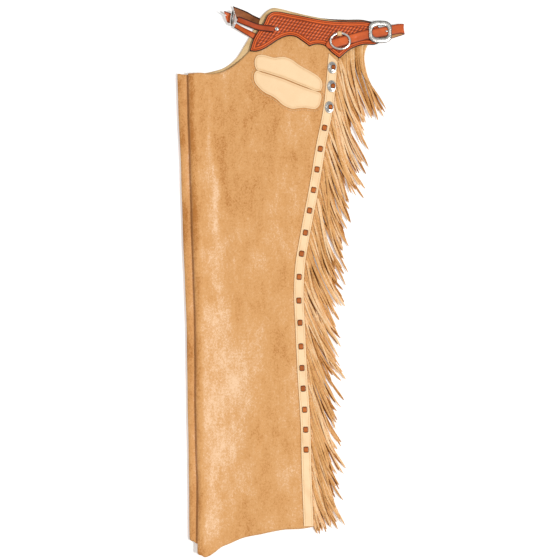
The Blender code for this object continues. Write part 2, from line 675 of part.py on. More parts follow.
def build_flat_pieces():
    build_plate("yoke_near", YOKE, yoke_base, YOKE_LEATHER, "tooled_leather")
    build_plate("yoke_far", YOKE, lambda y: 0.0, YOKE_LEATHER, "tooled_leather",
                YOKE_FAR_SHIFT)
    build_plate("patch_upper", PATCH_UPPER, yoke_base, TRIM_LEATHER, "pale_leather")
    build_plate("patch_lower", PATCH_LOWER, yoke_base, TRIM_LEATHER, "pale_leather")


def main():
    clear_scene()
    build_legs()
    build_flat_pieces()
    build_side_strap()
    build_strap_trim()
    build_fringes()
    build_straps()
    build_hardware()


main()
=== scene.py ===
"""Looks of a pair of fringed leather chaps, folded at the centre back and laid flat.

X runs across the legs, Y from the hem to the waist, Z up from the floor. Shapes are in millimetres and
become metres where a mesh is made.
"""
import math
import random

import bmesh
import bpy
import numpy as np
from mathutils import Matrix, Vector


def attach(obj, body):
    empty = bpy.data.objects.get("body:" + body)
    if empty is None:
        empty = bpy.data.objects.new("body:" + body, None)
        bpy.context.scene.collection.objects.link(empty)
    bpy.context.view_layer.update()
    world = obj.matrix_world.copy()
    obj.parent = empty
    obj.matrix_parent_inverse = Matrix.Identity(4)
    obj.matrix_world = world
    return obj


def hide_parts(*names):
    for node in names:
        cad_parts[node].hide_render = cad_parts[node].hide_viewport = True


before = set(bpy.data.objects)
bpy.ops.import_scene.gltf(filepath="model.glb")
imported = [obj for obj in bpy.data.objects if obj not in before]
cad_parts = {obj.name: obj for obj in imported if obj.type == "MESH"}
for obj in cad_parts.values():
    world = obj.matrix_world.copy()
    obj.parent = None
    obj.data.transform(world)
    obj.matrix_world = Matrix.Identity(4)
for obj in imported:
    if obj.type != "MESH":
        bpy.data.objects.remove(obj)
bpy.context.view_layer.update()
MM = 0.001

# Leather, gaps and the roll of a folded leg, as the solids have them
LEATHER = 2.0
YOKE_LEATHER = 3.2
STRAP_LEATHER = 2.6
TRIM_LEATHER = 2.0
SEAM_GAP = 0.3
LEG_GAP = 0.8
FOLD_RADIUS = 6.0
HALVES = 4.0
ROLL_WIDTH = 55.0
ROLL_POWER = 2.8
HEM_CORNER = 7.0
FAR_FRONT_Z = LEATHER / 2 + 0.005
SPLIT_Y = 405.0
WAIST_DROP = 2.0
WAIST_LENGTH = 100.0
YOKE_STEP_Y = 412.0
YOKE_STEP_LENGTH = 14.0
FAR_HEM_SHIFT = 23.8
FAR_EDGE_SHIFT = 2.0

NEAR_FOLD = {
    "y": (-516, -406, -292, -112, 200, 392),
    "x": (-177.8, -176.5, -179.6, -180.9, -190.2, -195.3),
}
FAR_FOLD = {
    "y": (-494, -361, -256, -123, 156, 234, 335, 394),
    "x": (-193.2, -194.9, -196.5, -198.4, -208.1, -210.5, -214.9, -216.5),
}
OUTSEAM = {
    "y": (-466, -351, -273, -180, -87, -20, 22, 107, 185, 257, 326, 385, 417, 496),
    "x": (42.9, 38.6, 36.9, 31.0, 26.8, 24.1, 25.8, 39.5, 54.3, 66.1, 79.6, 86.1, 88.7, 98.6),
}
HEM = {
    "across": (0, .024, .063, .107, .18, .25, .35, .53, .73, .91, 1),
    "y": (-520.4, -522.5, -521.2, -516.2, -505, -499, -489.6, -481, -472.7, -470.3, -466.8),
}
NEAR_TOP = {
    "across": (0, .05, .142, .213, .273, .327, .363, .40, .43, .464, .497, .53, .57, .66, .74, .84, 1),
    "y": (393, 394.6, 394, 398, 406.6, 418.4, 428.6, 441, 461, 475, 492, 504.6, 508, 504, 500, 494.5, 490),
}
FAR_TOP = {
    "across": (0, .05, .122, .21, .28, .328, .355, .377, .401, .43, .467, .50, .535, .572, .616, .686, .856,
               1),
    "y": (394, 394, 395.6, 400.5, 407.5, 417.5, 425, 434.5, 448, 463.5, 487, 504, 515, 520.5, 519, 513.5, 502,
          494),
}
BACK_TOP = {
    "across": (0, .1, .3, .5, .7, .85, 1),
    "y": (393, 390, 365, 345, 350, 372, 396),
}

# Outlines run clockwise from the left; a corner is an index of the table
YOKE = {
    "x": (-78.9, -71.1, -63.3, -51.7, -42.9, -34.2, -24.9, -1.7, 21.7, 50.7, 79.6, 108.9,
          149.5, 161.3, 168.9, 170.8, 168.0, 161.3, 137.9, 114.6, 91.4, 75.4, 63.8, 44.8,
          34.6, 21.7, 7.0, -1.7, -10.4, -24.9, -39.5, -54.0, -65.7),
    "y": (436.6, 460.4, 474.1, 490.4, 506.9, 511.9, 512.2, 507.9, 503.7, 497.8, 494.2, 492.9,
          491.3, 487.5, 478.0, 465.7, 453.3, 449.9, 449.0, 441.0, 422.8, 435.3, 446.9, 449.2,
          445.9, 455.6, 464.4, 465.7, 464.4, 457.9, 448.2, 439.7, 436.1),
    "corners": (0, 20, 24),
}
YOKE_FAR_SHIFT = (-6.0, 6.0)
PATCH_UPPER = {
    "x": (-68.2, -63.8, -57.9, -50.7, -40.5, -31.7, -23, -14.2, -2.7, 17.7, 40.9, 51.1, 57.6,
          59.8, 59.1, 55.5, 51.1, 29.3, 7.4, -14.2, -36.3, -55.3, -65.9, -68.8, -69.9),
    "y": (423.9, 429, 430.2, 429.8, 426.9, 424.7, 425.8, 426.2, 423.1, 409.5, 396.3, 389.7, 382.5,
          375.3, 366.5, 361, 360.4, 367.6, 376.2, 384.8, 392, 397.8, 401.2, 407.2, 415.9),
    "corners": (),
}
PATCH_LOWER = {
    "x": (-65.9, -69.5, -71.1, -69.5, -62.3, -50.7, -36.3, -26, -17.3, -8.5, 3, 14.8, 26.4,
          38, 46.7, 54, 56.8, 58.3, 55.5, 51.1, 29.3, 7.4, -14.2, -36.3, -55.3),
    "y": (399.8, 395.8, 388.4, 378.1, 368, 357.8, 350.6, 343.3, 335.2, 330.2, 326.6, 327.9, 328.7,
          326.6, 326.6, 333.1, 341.8, 351, 357.6, 359.4, 366.6, 375, 383.6, 391, 396.6),
    "corners": (),
}
PATCH_TURN = -19.4

# Straps: path with height, width, and in degrees the turn about the path and the skew of an end's cut
BACK_STRAP = {
    "x": (66, 71, 98.6, 123.3, 140.4, 168.9, 189, 202, 210.4, 213.4, 210.6, 203.5, 190, 172, 158),
    "y": (446.3, 447.7, 455.2, 461.9, 466.6, 471.8, 475.8, 478.3, 479.5, 479.2, 478, 476, 472, 467.5, 464),
    "z": (17.4, 17.4, 17.3, 17.2, 17.1, 17, 16.6, 15.6, 13.4, 9.8, 6.2, 4.2, 3.3, 4.7, 4.8),
    "turn": (0,) * 15,
    "width": (9, 18, 18.5, 18.5, 18.5, 18.5, 19, 19, 19, 19, 19, 19, 19, 19, 19),
}
FRONT_BILLET = {
    "x": (-33.5, -50, -64.8, -83.8, -101.5),
    "y": (477.9, 480, 482.6, 489.6, 496.4),
    "z": (16.4, 16.35, 16.6, 17.7, 19.5),
    "turn": (0, 0, -4, -16, -28),
    "width": (12.5,) * 5,
}
FRONT_CHAPE = {
    "x": (-52, -66.7, -89.5, -106.5),
    "y": (456.5, 464.5, 476.2, 485.6),
    "z": (7.5, 7.7, 10.5, 13.5),
    "turn": (0, 0, 30, 38),
    "width": (11.5, 11.5, 12.5, 12.5),
}
FRONT_STRAP = {
    "x": (-60.5, -76, -88, -107.0),
    "y": (493.2, 499.5, 504.5, 511.0),
    "z": (9.5, 9.5, 10, 11),
    "turn": (-52, -44, -28, -6),
    "width": (17, 18, 19, 20),
    "skew": (0, 0, -10, -36),
}
FRONT_STRAP_TIP = {
    "x": (-109, -112, -120, -124.5),
    "y": (496.9, 497.8, 500.2, 501.8),
    "z": (16.2, 16.4, 17, 17.6),
    "turn": (-14, -16, -20, -22),
    "width": (18.4, 18.6, 19, 18),
    "skew": (0, -10, -26, -36),
}
RING_TAB = {
    "x": (91.5,) * 7,
    "y": (472.5, 472.4, 471.9, 468.6, 465.3, 464.9, 464.9),
    "z": (16, 19, 23.2, 25.6, 23.2, 19, 16),
    "turn": (0,) * 7,
    "width": (8.5,) * 7,
}

# Fringe
STRAND_LENGTH = 148.0
STRAND_WIDTH = 7.0
STRAND_PITCH = 9.6
STRAND_THICKNESS = 1.3
HEADER_THICKNESS = 1.4
HEADER_WIDTH = 8.0
LANE_STEP = 1.6
LANE_ORDER = (0, 2, 1, 3)
STRAND_LENGTH_SPREAD = (0.84, 1.05)
CLUMP_LEAN = 6.0
CLUMP_STRANDS = (3, 6)
STRAND_LEAN = 2.6
STRAND_FALL = 0.93
SEAM_HEADING = -64.0
ROOT_TURN = 14.0
UNCUT_RUN = 22.0
YOKE_LEAN = {"x": (90, 115, 135, 150), "angle": (-87, -90, -97, -126), "out": (2, 6, 10, 9)}
LEAN_RUN = 42.0
YOKE_ROOT_ANGLE = -30.0
YOKE_SHADE = 0.8
OWN_LEAN = (-10.0, 4.0)
SHORTEST = {"yoke": 0.96, "seam": 0.86}
FAN = 6.0
CUTS = 2
ROOT_LANE_STEP = 0.7
HEADER_REACH = 5.0
NEAR_LANE_Z = 7.4
FAR_LANE_Z = 0.95
FAR_HEADER_STEP = {"start_y": 397.0, "length": 16.0, "rise": 3.4}
NEAR_HEADER_SINK = 1.15
FRINGE_TOP_Y = 415.0
FRINGE_END_Y = -462.0
FRINGE_FAR_END_Y = -472.0
FRINGE_ROOTS = {
    "x": (149.9, 132.8, 115.7, 102.5, 94.8),
    "y": (454.4, 453.3, 448.3, 438.7, 427.0),
}
STRAND_HANG = {
    "y": (-470, -400, -330, -230, -150, -100, 0, 120, 260, 360, 420, 455),
    "angle": (-79, -75, -69.5, -69, -65.5, -67, -65, -67.5, -72, -71.5, -71.5, -72),
}

# Trim
SIDE_STRAP_WIDTH = 19.0
SIDE_STRAP_Y = {"foot": -466.0, "right_top": 416.5, "left_top": 433.5}
LACE_Y = (291, 251, 212, 173, 134, 92, 52, 8, -37, -79, -124, -165, -204, -244, -282, -320)
LACE_SIZE = (9.5, 11.5, 1.2)
CONCHOS = {"x": (77.9, 77.0, 72.4), "y": (405.2, 369.9, 330.0)}
CONCHO_SIZE = (17.0, 23.0, 3.2)
CONCHO_LACE = {"offset": (2.4, 0.2), "size": (8.5, 9.5), "rise": 2.2}

# Straps' leather, metal loops and pins, as the solids have them
TAB_LEATHER = 1.4
BILLET_LEATHER = 2.2
BELT_LEATHER = 2.4
RING = {"centre": (93.1, 454.4, 21.4), "size": (36.8, 29.6), "bar": (4.4, 4.4), "end_bar": 4.4}
REAR_BUCKLE = {"centre": (168.9, 472.3, 20.7), "size": (36.7, 32.1), "bar": (6.4, 3.6), "end_bar": 10.4}
FRONT_BUCKLE = {"centre": (-111.2, 498.6, 16.2), "size": (28.5, 25.0), "bar": (3.6, 6.4), "end_bar": 3.6}
FRONT_BUCKLE_LEAN = 6.0
RIVET = {"centre": (-27.2, 478.8), "radius": 4.0, "rise": 1.8}
PEG = {"centre": (181.1, 473.6), "base": 18.9, "size": (4.6, 3.4), "rise": 2.2}
PRONG = {"centre": (-128.8, 507.2), "base": 19.4, "size": (16.0, 2.2), "rise": 1.8, "turn": -35.5}
BACK_STRAP_HOLES = ((123.9, 461.3),)

# Finer form: cut edges, tooling and stitches; a border line is its inset, half width and depth
EDGE_ROUND = 0.9
WEAVE_PITCH = 6.2
WEAVE_LEAN = -10.0
WEAVE_SLANT = 0.75
WEAVE_INSET = 8.6
WEAVE_DEPTH = 0.85
BORDER_LINES = ((4.2, 0.7, 0.9), (8.2, 0.7, 0.9), (0.0, 0.9, 0.4))
BEAD_INSET = 6.2
BEAD_STEP = 2.4
STITCH_INSET = 3.4
STITCH_STEP = 3.4
STITCH_RADIUS = 0.42
# Rows and columns packed along a rim: millimetres inside it, and shares of a plate's length
RIM_ROWS = (0.0, 0.08, 0.25, 0.5, 0.85, 1.3)
PLATE_ENDS = (0.00002, 0.0004, 0.0015, 0.0035, 0.0065)

# Light and view: a lamp has a place and size in metres and a power in watts; the view is in metres too
FLOOR_GLOW = 0.3
FLOOR_SIDE = 6.0
FLOOR_LOW = -0.0005
DOME_STRENGTH = 0.44
LAMPS = (("key", (1.4, -0.3, 3.75), 0.45, 100), ("fill", (-2.2, 1.2, 2.4), 1.6, 10))
VIEW = {"x": -0.0211, "y": 0.0021, "z": 0.013, "width": 1.064}


def linear(code):
    """A hex colour as linear red, green, blue and 1."""
    parts = [int(code[k:k + 2], 16) / 255 for k in (0, 2, 4)]
    return tuple(p / 12.92 if p < 0.04045 else ((p + 0.055) / 1.055) ** 2.4 for p in parts) + (1.0,)


class Nodes:
    """Short calls for making nodes of a tree; each returns the output socket that it names."""

    def __init__(self, tree):
        self.tree = tree

    def add(self, kind, output, inputs=None, **settings):
        node = self.tree.nodes.new(kind)
        for key, value in settings.items():
            setattr(node, key, value)
        for key, value in (inputs or {}).items():
            if isinstance(value, bpy.types.NodeSocket):
                self.tree.links.new(value, node.inputs[key])
            else:
                node.inputs[key].default_value = value
        return node.outputs[output]

    def math(self, operation, a, b=0.0, clamp=False):
        return self.add("ShaderNodeMath", 0, {0: a, 1: b}, operation=operation, use_clamp=clamp)

    def span(self, value, low, high, to_low=0.0, to_high=1.0):
        inputs = {"Value": value, "From Min": low, "From Max": high, "To Min": to_low, "To Max": to_high}
        return self.add("ShaderNodeMapRange", "Result", inputs, interpolation_type="SMOOTHSTEP")

    def mix(self, share, a, b, blend="MIX"):
        node = self.tree.nodes.new("ShaderNodeMix")
        node.data_type = "RGBA"
        node.blend_type = blend
        for name, value in (("Factor", share), ("A", a), ("B", b)):
            socket = next(s for s in node.inputs if s.name == name and s.enabled)
            if isinstance(value, bpy.types.NodeSocket):
                self.tree.links.new(value, socket)
            else:
                socket.default_value = value
        return next(s for s in node.outputs if s.enabled)

    def noise(self, vector, scale, detail=3.0, rough=0.5, output="Fac"):
        inputs = {"Vector": vector, "Scale": scale, "Detail": detail, "Roughness": rough}
        return self.add("ShaderNodeTexNoise", output, inputs)

    def stretched(self, scale, turn=0.0):
        where = self.add("ShaderNodeTexCoord", "Object")
        inputs = {"Vector": where, "Scale": scale, "Rotation": (0, 0, turn)}
        return self.add("ShaderNodeMapping", "Vector", inputs)

    def value(self, name):
        return self.add("ShaderNodeAttribute", "Fac", attribute_name=name)


def new_group(name, colours, numbers, outputs):
    """A node group with named colour and number inputs and its outputs; returns it, its nodes and sockets."""
    tree = bpy.data.node_groups.new(name, "ShaderNodeTree")
    for key in colours:
        tree.interface.new_socket(name=key, in_out="INPUT", socket_type="NodeSocketColor")
    for key in numbers:
        tree.interface.new_socket(name=key, in_out="INPUT", socket_type="NodeSocketFloat")
    for key, kind in outputs.items():
        tree.interface.new_socket(name=key, in_out="OUTPUT", socket_type=kind)
    given = tree.nodes.new("NodeGroupInput").outputs
    return tree, Nodes(tree), given, tree.nodes.new("NodeGroupOutput").inputs


FLESH = "C8935C"
PALE_FLESH = "EEC48E"
SURFACE = {"Color": "NodeSocketColor", "Height": "NodeSocketFloat", "Roughness": "NodeSocketFloat"}


def suede_group():
    """Rough-out nap: soft clouds, streaks of the nap, fibres, and by the tone attribute lighter or darker
    patches that include painted shade and highlights.
    """
    colours = ("Dark", "Middle", "Light")
    tree, make, given, result = new_group("suede_nap", colours, ("Tone", "Fibre"), SURFACE)
    clouds = make.noise(make.stretched((1, 0.7, 1)), 13, 5, 0.6)
    streaks = make.noise(make.stretched((1, 0.4, 1), -0.25), 62, 5, 0.7)
    mottle = make.noise(make.stretched((1, 0.8, 1)), 300, 3, 0.7)
    fibres = make.noise(make.stretched((1, 0.55, 1)), 1150, 2, 0.7)
    level = make.math("MULTIPLY_ADD", make.math("SUBTRACT", clouds, 0.5), 1.0)
    level.node.inputs[2].default_value = 0.5
    for part, share in ((streaks, 0.75), (mottle, 0.85), (fibres, 0.85)):
        level = make.math("ADD", level, make.math("MULTIPLY", make.math("SUBTRACT", part, 0.5), share))
    # the tone attribute: the nap's own patches together with painted shade and highlights
    tone_and_shade = make.math("MULTIPLY", make.value("tone"), given["Tone"])
    level = make.math("ADD", level, tone_and_shade, clamp=True)
    dark_half = make.mix(make.span(level, 0.0, 0.5), given["Dark"], given["Middle"])
    colour = make.mix(make.span(level, 0.5, 1.0), dark_half, given["Light"])
    tree.links.new(colour, result["Color"])
    nap = make.math("MULTIPLY", fibres, given["Fibre"])
    tree.links.new(make.math("ADD", nap, make.math("MULTIPLY", mottle, 0.8)), result["Height"])
    tree.links.new(make.span(fibres, 0.2, 0.8, 0.82, 1.0), result["Roughness"])
    return tree


def leather_group():
    """Smooth leather: pebbled grain, dye gathered in low places by relief, and a dark edge: burnished, and on
    the lace partly painted shade.
    """
    colours = ("Face", "Low", "Edge", "Flesh")
    numbers = ("Depth", "Edge Width", "Wear")
    tree, make, given, result = new_group("dyed_leather", colours, numbers, SURFACE)
    where = make.stretched((1, 1, 1))
    cells = make.add("ShaderNodeTexVoronoi", "Distance", {"Vector": where, "Scale": 620.0},
                     feature="SMOOTH_F1")
    clouds = make.noise(where, 34, 4, 0.6)
    grain = make.noise(where, 900, 3, 0.6)
    low = make.math("DIVIDE", make.value("relief"), given["Depth"], clamp=True)
    low = make.math("POWER", low, 0.8)
    face = make.mix(make.math("MULTIPLY", make.span(clouds, 0.3, 0.72), given["Wear"]), given["Face"],
                    given["Low"])
    speck = make.math("MULTIPLY", make.span(grain, 0.52, 0.75), 0.22)
    face = make.mix(speck, face, given["Low"])
    face = make.mix(make.value("flesh"), face, given["Flesh"])
    colour = make.mix(low, face, given["Low"])
    rim = make.math("DIVIDE", make.value("edge"), given["Edge Width"], clamp=True)
    rim = make.math("SUBTRACT", 1.0, make.span(rim, 0.35, 1.0))
    colour = make.mix(rim, colour, given["Edge"])
    tree.links.new(colour, result["Color"])
    tree.links.new(make.math("ADD", make.math("MULTIPLY", cells, 0.7), grain), result["Height"])
    rough = make.span(clouds, 0.3, 0.7, 0.40, 0.56)
    rough = make.math("ADD", rough, make.math("MULTIPLY", low, 0.2))
    tree.links.new(rough, result["Roughness"])
    return tree


def silver_group():
    """Worn silver: bright face, tarnish in the engraving by relief, fine scratches in the roughness."""
    tree, make, given, result = new_group("worn_silver", ("Bright", "Tarnish"), ("Depth",), SURFACE)
    where = make.stretched((1, 0.2, 1), 0.5)
    scratches = make.noise(where, 2400, 2, 0.6)
    smears = make.noise(make.stretched((1, 1, 1)), 160, 3, 0.6)
    low = make.math("DIVIDE", make.value("relief"), given["Depth"], clamp=True)
    shade = make.math("ADD", make.math("MULTIPLY", low, 0.85), make.span(smears, 0.55, 0.85, 0.0, 0.25))
    tree.links.new(make.mix(shade, given["Bright"], given["Tarnish"]), result["Color"])
    tree.links.new(make.math("ADD", scratches, make.math("MULTIPLY", smears, 0.5)), result["Height"])
    rough = make.span(smears, 0.3, 0.7, 0.18, 0.36)
    tree.links.new(make.math("ADD", rough, make.math("MULTIPLY", low, 0.2)), result["Roughness"])
    return tree


def finish_from(name, group, colours, numbers, bump, strength, coat=0.0, metallic=0.0, sheen=0.0):
    """A material whose colour, roughness and bump come from one group; bump is its depth in millimetres."""
    made = bpy.data.materials.new(name)
    made.use_nodes = True
    tree = made.node_tree
    shader = tree.nodes["Principled BSDF"]
    surface = tree.nodes.new("ShaderNodeGroup")
    surface.node_tree = group
    for key, code in colours.items():
        surface.inputs[key].default_value = linear(code)
    for key, number in numbers.items():
        surface.inputs[key].default_value = number
    raised = tree.nodes.new("ShaderNodeBump")
    raised.inputs["Strength"].default_value = strength
    raised.inputs["Distance"].default_value = bump * MM
    tree.links.new(surface.outputs["Height"], raised.inputs["Height"])
    tree.links.new(raised.outputs["Normal"], shader.inputs["Normal"])
    tree.links.new(surface.outputs["Color"], shader.inputs["Base Color"])
    tree.links.new(surface.outputs["Roughness"], shader.inputs["Roughness"])
    shader.inputs["Metallic"].default_value = metallic
    shader.inputs["Coat Weight"].default_value = coat
    shader.inputs["Coat Roughness"].default_value = 0.25
    shader.inputs["Sheen Weight"].default_value = sheen
    shader.inputs["Sheen Roughness"].default_value = 0.6
    shader.inputs["Sheen Tint"].default_value = linear("FFE2BE")
    if metallic == 0:
        shader.inputs["Specular IOR Level"].default_value = 0.15 if sheen else 0.25
    return made


def make_finishes():
    """Every material of the chaps, by name."""
    nap, dyed, metal = suede_group(), leather_group(), silver_group()
    tan = {"Dark": "B67436", "Middle": "DFA66A", "Light": "FAD2AA"}
    cut = {"Dark": "8A5A2C", "Middle": "B98450", "Light": "DDAE7A"}
    strands = {"Dark": "B07436", "Middle": "E4AC6E", "Light": "FCD6A8"}
    made = {
        "suede": finish_from("suede", nap, tan, {"Tone": 0.2, "Fibre": 1.0}, 0.35, 0.5, sheen=0.15),
        "suede_edge": finish_from("suede_edge", nap, cut, {"Tone": 0.0, "Fibre": 1.0}, 0.3, 0.6, sheen=0.1),
        "suede_fringe": finish_from("suede_fringe", nap, strands, {"Tone": 0.3, "Fibre": 1.0}, 0.3, 0.5,
                                    sheen=0.15),
        "silver": finish_from("silver", metal, {"Bright": "EFECE6", "Tarnish": "2A241E"}, {"Depth": 0.3},
                              0.02, 0.3, metallic=1.0),
    }
    for name, face, low, edge, numbers, bump, strength, coat in (
        ("suede_grain", "EACB98", "C49A64", "C49A64", (1.0, 0.01, 0.7), 0.15, 0.4, 0),
        ("pale_leather", "FFDDB0", "E2B07A", "C08E58", (0.9, 0.8, 0.15), 0.12, 0.35, 0),
        ("thread", "F0D2A2", "C09464", "C09464", (1.0, 0.3, 0.2), 0.1, 0.5, 0),
        ("tooled_leather", "FF722A", "561404", "260A03", (0.95, 3.0, 0.2), 0.1, 0.35, 0.12),
        ("strap_leather", "E26A30", "8A2C0C", "3E1206", (0.4, 1.4, 0.45), 0.12, 0.4, 0.06),
        ("strap_shade", "C24E1C", "601A06", "2E0D04", (0.4, 2.3, 0.5), 0.12, 0.4, 0.1),
        # the inner side of a strap, its colour darkened as painted shade
        ("strap_inside_shaded", "AE6C42", "623518", "241006", (0.4, 2.6, 0.8), 0.12, 0.4, 0),
        # lace: the dark Edge round each square and the darker dips at its slits are partly burnished edge and
        # partly painted shade
        ("lace", "CE6C1A", "7A340C", "481B06", (1.0, 1.4, 0.5), 0.12, 0.5, 0.05),
    ):
        flesh = PALE_FLESH if name == "pale_leather" else FLESH
        colours = {"Face": face, "Low": low, "Edge": edge, "Flesh": flesh}
        sizes = dict(zip(("Depth", "Edge Width", "Wear"), numbers))
        made[name] = finish_from(name, dyed, colours, sizes, bump, strength, coat)
    return made


def curve(table, x, value="x", along="y"):
    """The smooth curve through a table's points: a cubic Hermite with finite-difference slopes."""
    knots = np.asarray(table[along], float)
    values = np.asarray(table[value], float)
    slopes = np.gradient(values, knots)
    x = np.clip(np.asarray(x, float), knots[0], knots[-1])
    k = np.clip(np.searchsorted(knots, x) - 1, 0, len(knots) - 2)
    step = knots[k + 1] - knots[k]
    t = (x - knots[k]) / step
    start = (1 + 2 * t) * (1 - t) ** 2 * values[k] + t * (1 - t) ** 2 * step * slopes[k]
    return start + t**2 * (3 - 2 * t) * values[k + 1] + t**2 * (t - 1) * step * slopes[k + 1]


def ease(t):
    """0 to 1 with level ends: 3 t squared less 2 t cubed."""
    t = np.clip(t, 0, 1)
    return t * t * (3 - 2 * t)


def bell(distance, width):
    """A soft hump: exp of minus the squared distance over width."""
    return np.exp(-((distance / width) ** 2))


def add_mesh(name, points, faces, finishes, values=None, uv=None):
    """One piece at the origin from points in millimetres.

    finishes are its materials, values its point attributes.
    """
    mesh = bpy.data.meshes.new(name)
    mesh.from_pydata(np.asarray(points, float).reshape(-1, 3) * MM, [], faces)
    for key, value in (values or {}).items():
        made = mesh.attributes.new(key, "FLOAT", "POINT")
        made.data.foreach_set("value", np.asarray(value, np.float32).ravel())
    if uv is not None:
        layer = mesh.uv_layers.new(name="along")
        corner = np.empty(len(mesh.loops), int)
        mesh.loops.foreach_get("vertex_index", corner)
        layer.data.foreach_set("uv", np.asarray(uv, np.float32).reshape(-1, 2)[corner].ravel())
    for finish in finishes:
        mesh.materials.append(finish)
    mesh.shade_smooth()
    piece = bpy.data.objects.new(name, mesh)
    bpy.context.scene.collection.objects.link(piece)
    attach(piece, "root")
    return piece


def turn_outwards(piece):
    """Recalculate the normals of a closed mesh so that its faces point out."""
    work = bmesh.new()
    work.from_mesh(piece.data)
    bmesh.ops.recalc_face_normals(work, faces=work.faces)
    work.to_mesh(piece.data)
    work.free()


def grid_faces(columns, rows, ring=False, loop=False, start=0):
    """Quads of a grid of points; ring closes it along its rows, loop along its columns."""
    index = np.arange(columns * rows).reshape(columns, rows) + start
    if ring:
        index = np.concatenate((index, index[:, :1]), 1)
    if loop:
        index = np.concatenate((index, index[:1]), 0)
    corners = (index[:-1, :-1], index[1:, :-1], index[1:, 1:], index[:-1, 1:])
    return np.stack(corners, -1).reshape(-1, 4).tolist()


def fold_centre(fold, y):
    """X of the axis of a leg's inseam roll."""
    return curve(fold, y) + FOLD_RADIUS + LEATHER / 2


def roll_opening(fold, x, y):
    """Distance between the two halves of a leg: open at the roll, closing over ROLL_WIDTH."""
    inward = (x - fold_centre(fold, y)) / ROLL_WIDTH
    return 2 * FOLD_RADIUS - (2 * FOLD_RADIUS - HALVES) * ease(inward)


def far_front_z(x, y):
    """Lower leg, half on the floor: flat, and stepping up over the lower yoke."""
    return FAR_FRONT_Z + (YOKE_LEATHER + SEAM_GAP) * ease((y - YOKE_STEP_Y) / YOKE_STEP_LENGTH)


def far_back_z(x, y):
    """Lower leg, hidden half: the roll's opening above the half on the floor."""
    return FAR_FRONT_Z + roll_opening(FAR_FOLD, x, y)


def near_back_z(x, y):
    """Upper leg, hidden half, lying on the lower leg."""
    return far_back_z(x, y) + LEATHER + LEG_GAP


def panel_drop(y):
    """How far the upper front sinks towards the waist: straight down from SPLIT_Y."""
    return WAIST_DROP * np.maximum(np.asarray(y, float) - SPLIT_Y, 0) / WAIST_LENGTH


def soft_folds(x, y):
    """The solid's low creases of the upper front."""
    inward = x - fold_centre(NEAR_FOLD, y)
    fade = ease((inward - 30) / 40) * ease((150 - inward) / 40) * ease((330 - y) / 90)
    knee = 1.3 * np.exp(-((inward - 62 - 0.10 * y) / 17) ** 2) * np.exp(-((y - 60) / 190) ** 2)
    calf = 1.6 * np.exp(-((inward - 98 + 0.06 * (y + 250)) / 15) ** 2) * np.exp(-((y + 270) / 150) ** 2)
    hem = 1.2 * np.exp(-((inward - 48) / 14) ** 2) * np.exp(-((y + 480) / 120) ** 2)
    return fade * (knee + calf + hem)


def panel_top(y):
    """Top of the upper front away from its roll, where the trim lies."""
    level = FAR_FRONT_Z + 2 * HALVES + LEATHER + LEG_GAP
    return level - panel_drop(y) + LEATHER / 2


# Creases of the upper front: centre, half length, half width, height (a trough is below 0) and lean from Y
CREASES = {
    "x": (-158, -152, -147, -128, -119, -104, -70, -62, -92, -35, -15, 2, -128, -60, -28, -138),
    "y": (330, 215, 80, -30, -150, 150, 60, -90, -40, 230, 120, -60, -380, -330, -420, -300),
    "length": (70, 95, 110, 80, 120, 70, 110, 95, 90, 80, 120, 90, 110, 90, 60, 140),
    "width": (5, 4, 5, 9, 12, 9, 10, 11, 8, 9, 10, 9, 12, 13, 10, 8),
    "rise": (1.0, 1.1, 0.9, 0.7, 0.9, -0.8, 0.8, -0.9, -0.7, 0.6, -0.7, 0.7, 0.9, -0.8, 0.6, 0.5),
    "lean": (3, -4, -5, -10, 4, 14, 12, 16, 18, 12, 9, 4, -6, 20, 32, 3),
}
# The grid of a leg, and the painted shade on each roll where it curves away from the light: tone, its reach
# inwards and the way over which it fades
LEG_GRID = {"rows": 210, "front": 76, "back": 34, "roll": 15}
LEG_LENGTH = 900.0
ROLL_SHADE = {
    "near": {"tone": 1.6, "inward": 11.0, "fade": 14.0},
    "far": {"tone": 1.0, "inward": 10.0, "fade": 10.0},
}
# Lighter or darker patches of the nap and, beside the upper roll, narrow light streaks that are painted
# highlights on the creases' ridges: centre, half length, half width, tone and lean from Y
NAP_TONE_AND_HIGHLIGHTS = {
    "x": (-156, -150, -144, -136, -96, -138, -60, -118, -30, -72, -22, -45, -62, -118, -100, -20, -66,
          -128, 20, -152),
    "y": (285, 225, 135, 10, -160, -250, 330, 270, 60, 60, -120, -400, -180, 150, 30, 250, -300,
          -60, 130, -420),
    "length": (50, 60, 60, 70, 130, 150, 60, 110, 90, 120, 100, 60, 60, 70, 90, 70, 50, 60, 60, 80),
    "width": (5, 7, 6, 14, 55, 46, 40, 46, 12, 16, 16, 50, 20, 12, 18, 10, 20, 16, 9, 20),
    "tone": (1.0, 1.4, 1.3, .6, .8, 1.4, -.9, -.9, .4, -.35, -.3, -.2, .3, -.3, -.2, .35, -.2, .5, -.4, 1.0),
    "lean": (4, -6, -2, -8, -10, 0, 20, 0, 10, 12, 8, 25, 16, -6, 14, 12, 30, -6, 8, 6),
}


def along_and_across(x, y, table, row):
    """Distances from a row's centre along and across its own direction, which leans from Y."""
    lean = math.radians(table["lean"][row])
    dx = x - table["x"][row]
    dy = y - table["y"][row]
    return dy * math.cos(lean) + dx * math.sin(lean), dx * math.cos(lean) - dy * math.sin(lean)


def bells(x, y, table, amount):
    """The sum of a table's soft humps, each a bell along and a bell across its direction."""
    total = np.zeros_like(x)
    for row, height in enumerate(table[amount]):
        along, across = along_and_across(x, y, table, row)
        total += height * bell(along, table["length"][row]) * bell(across, table["width"][row])
    return total


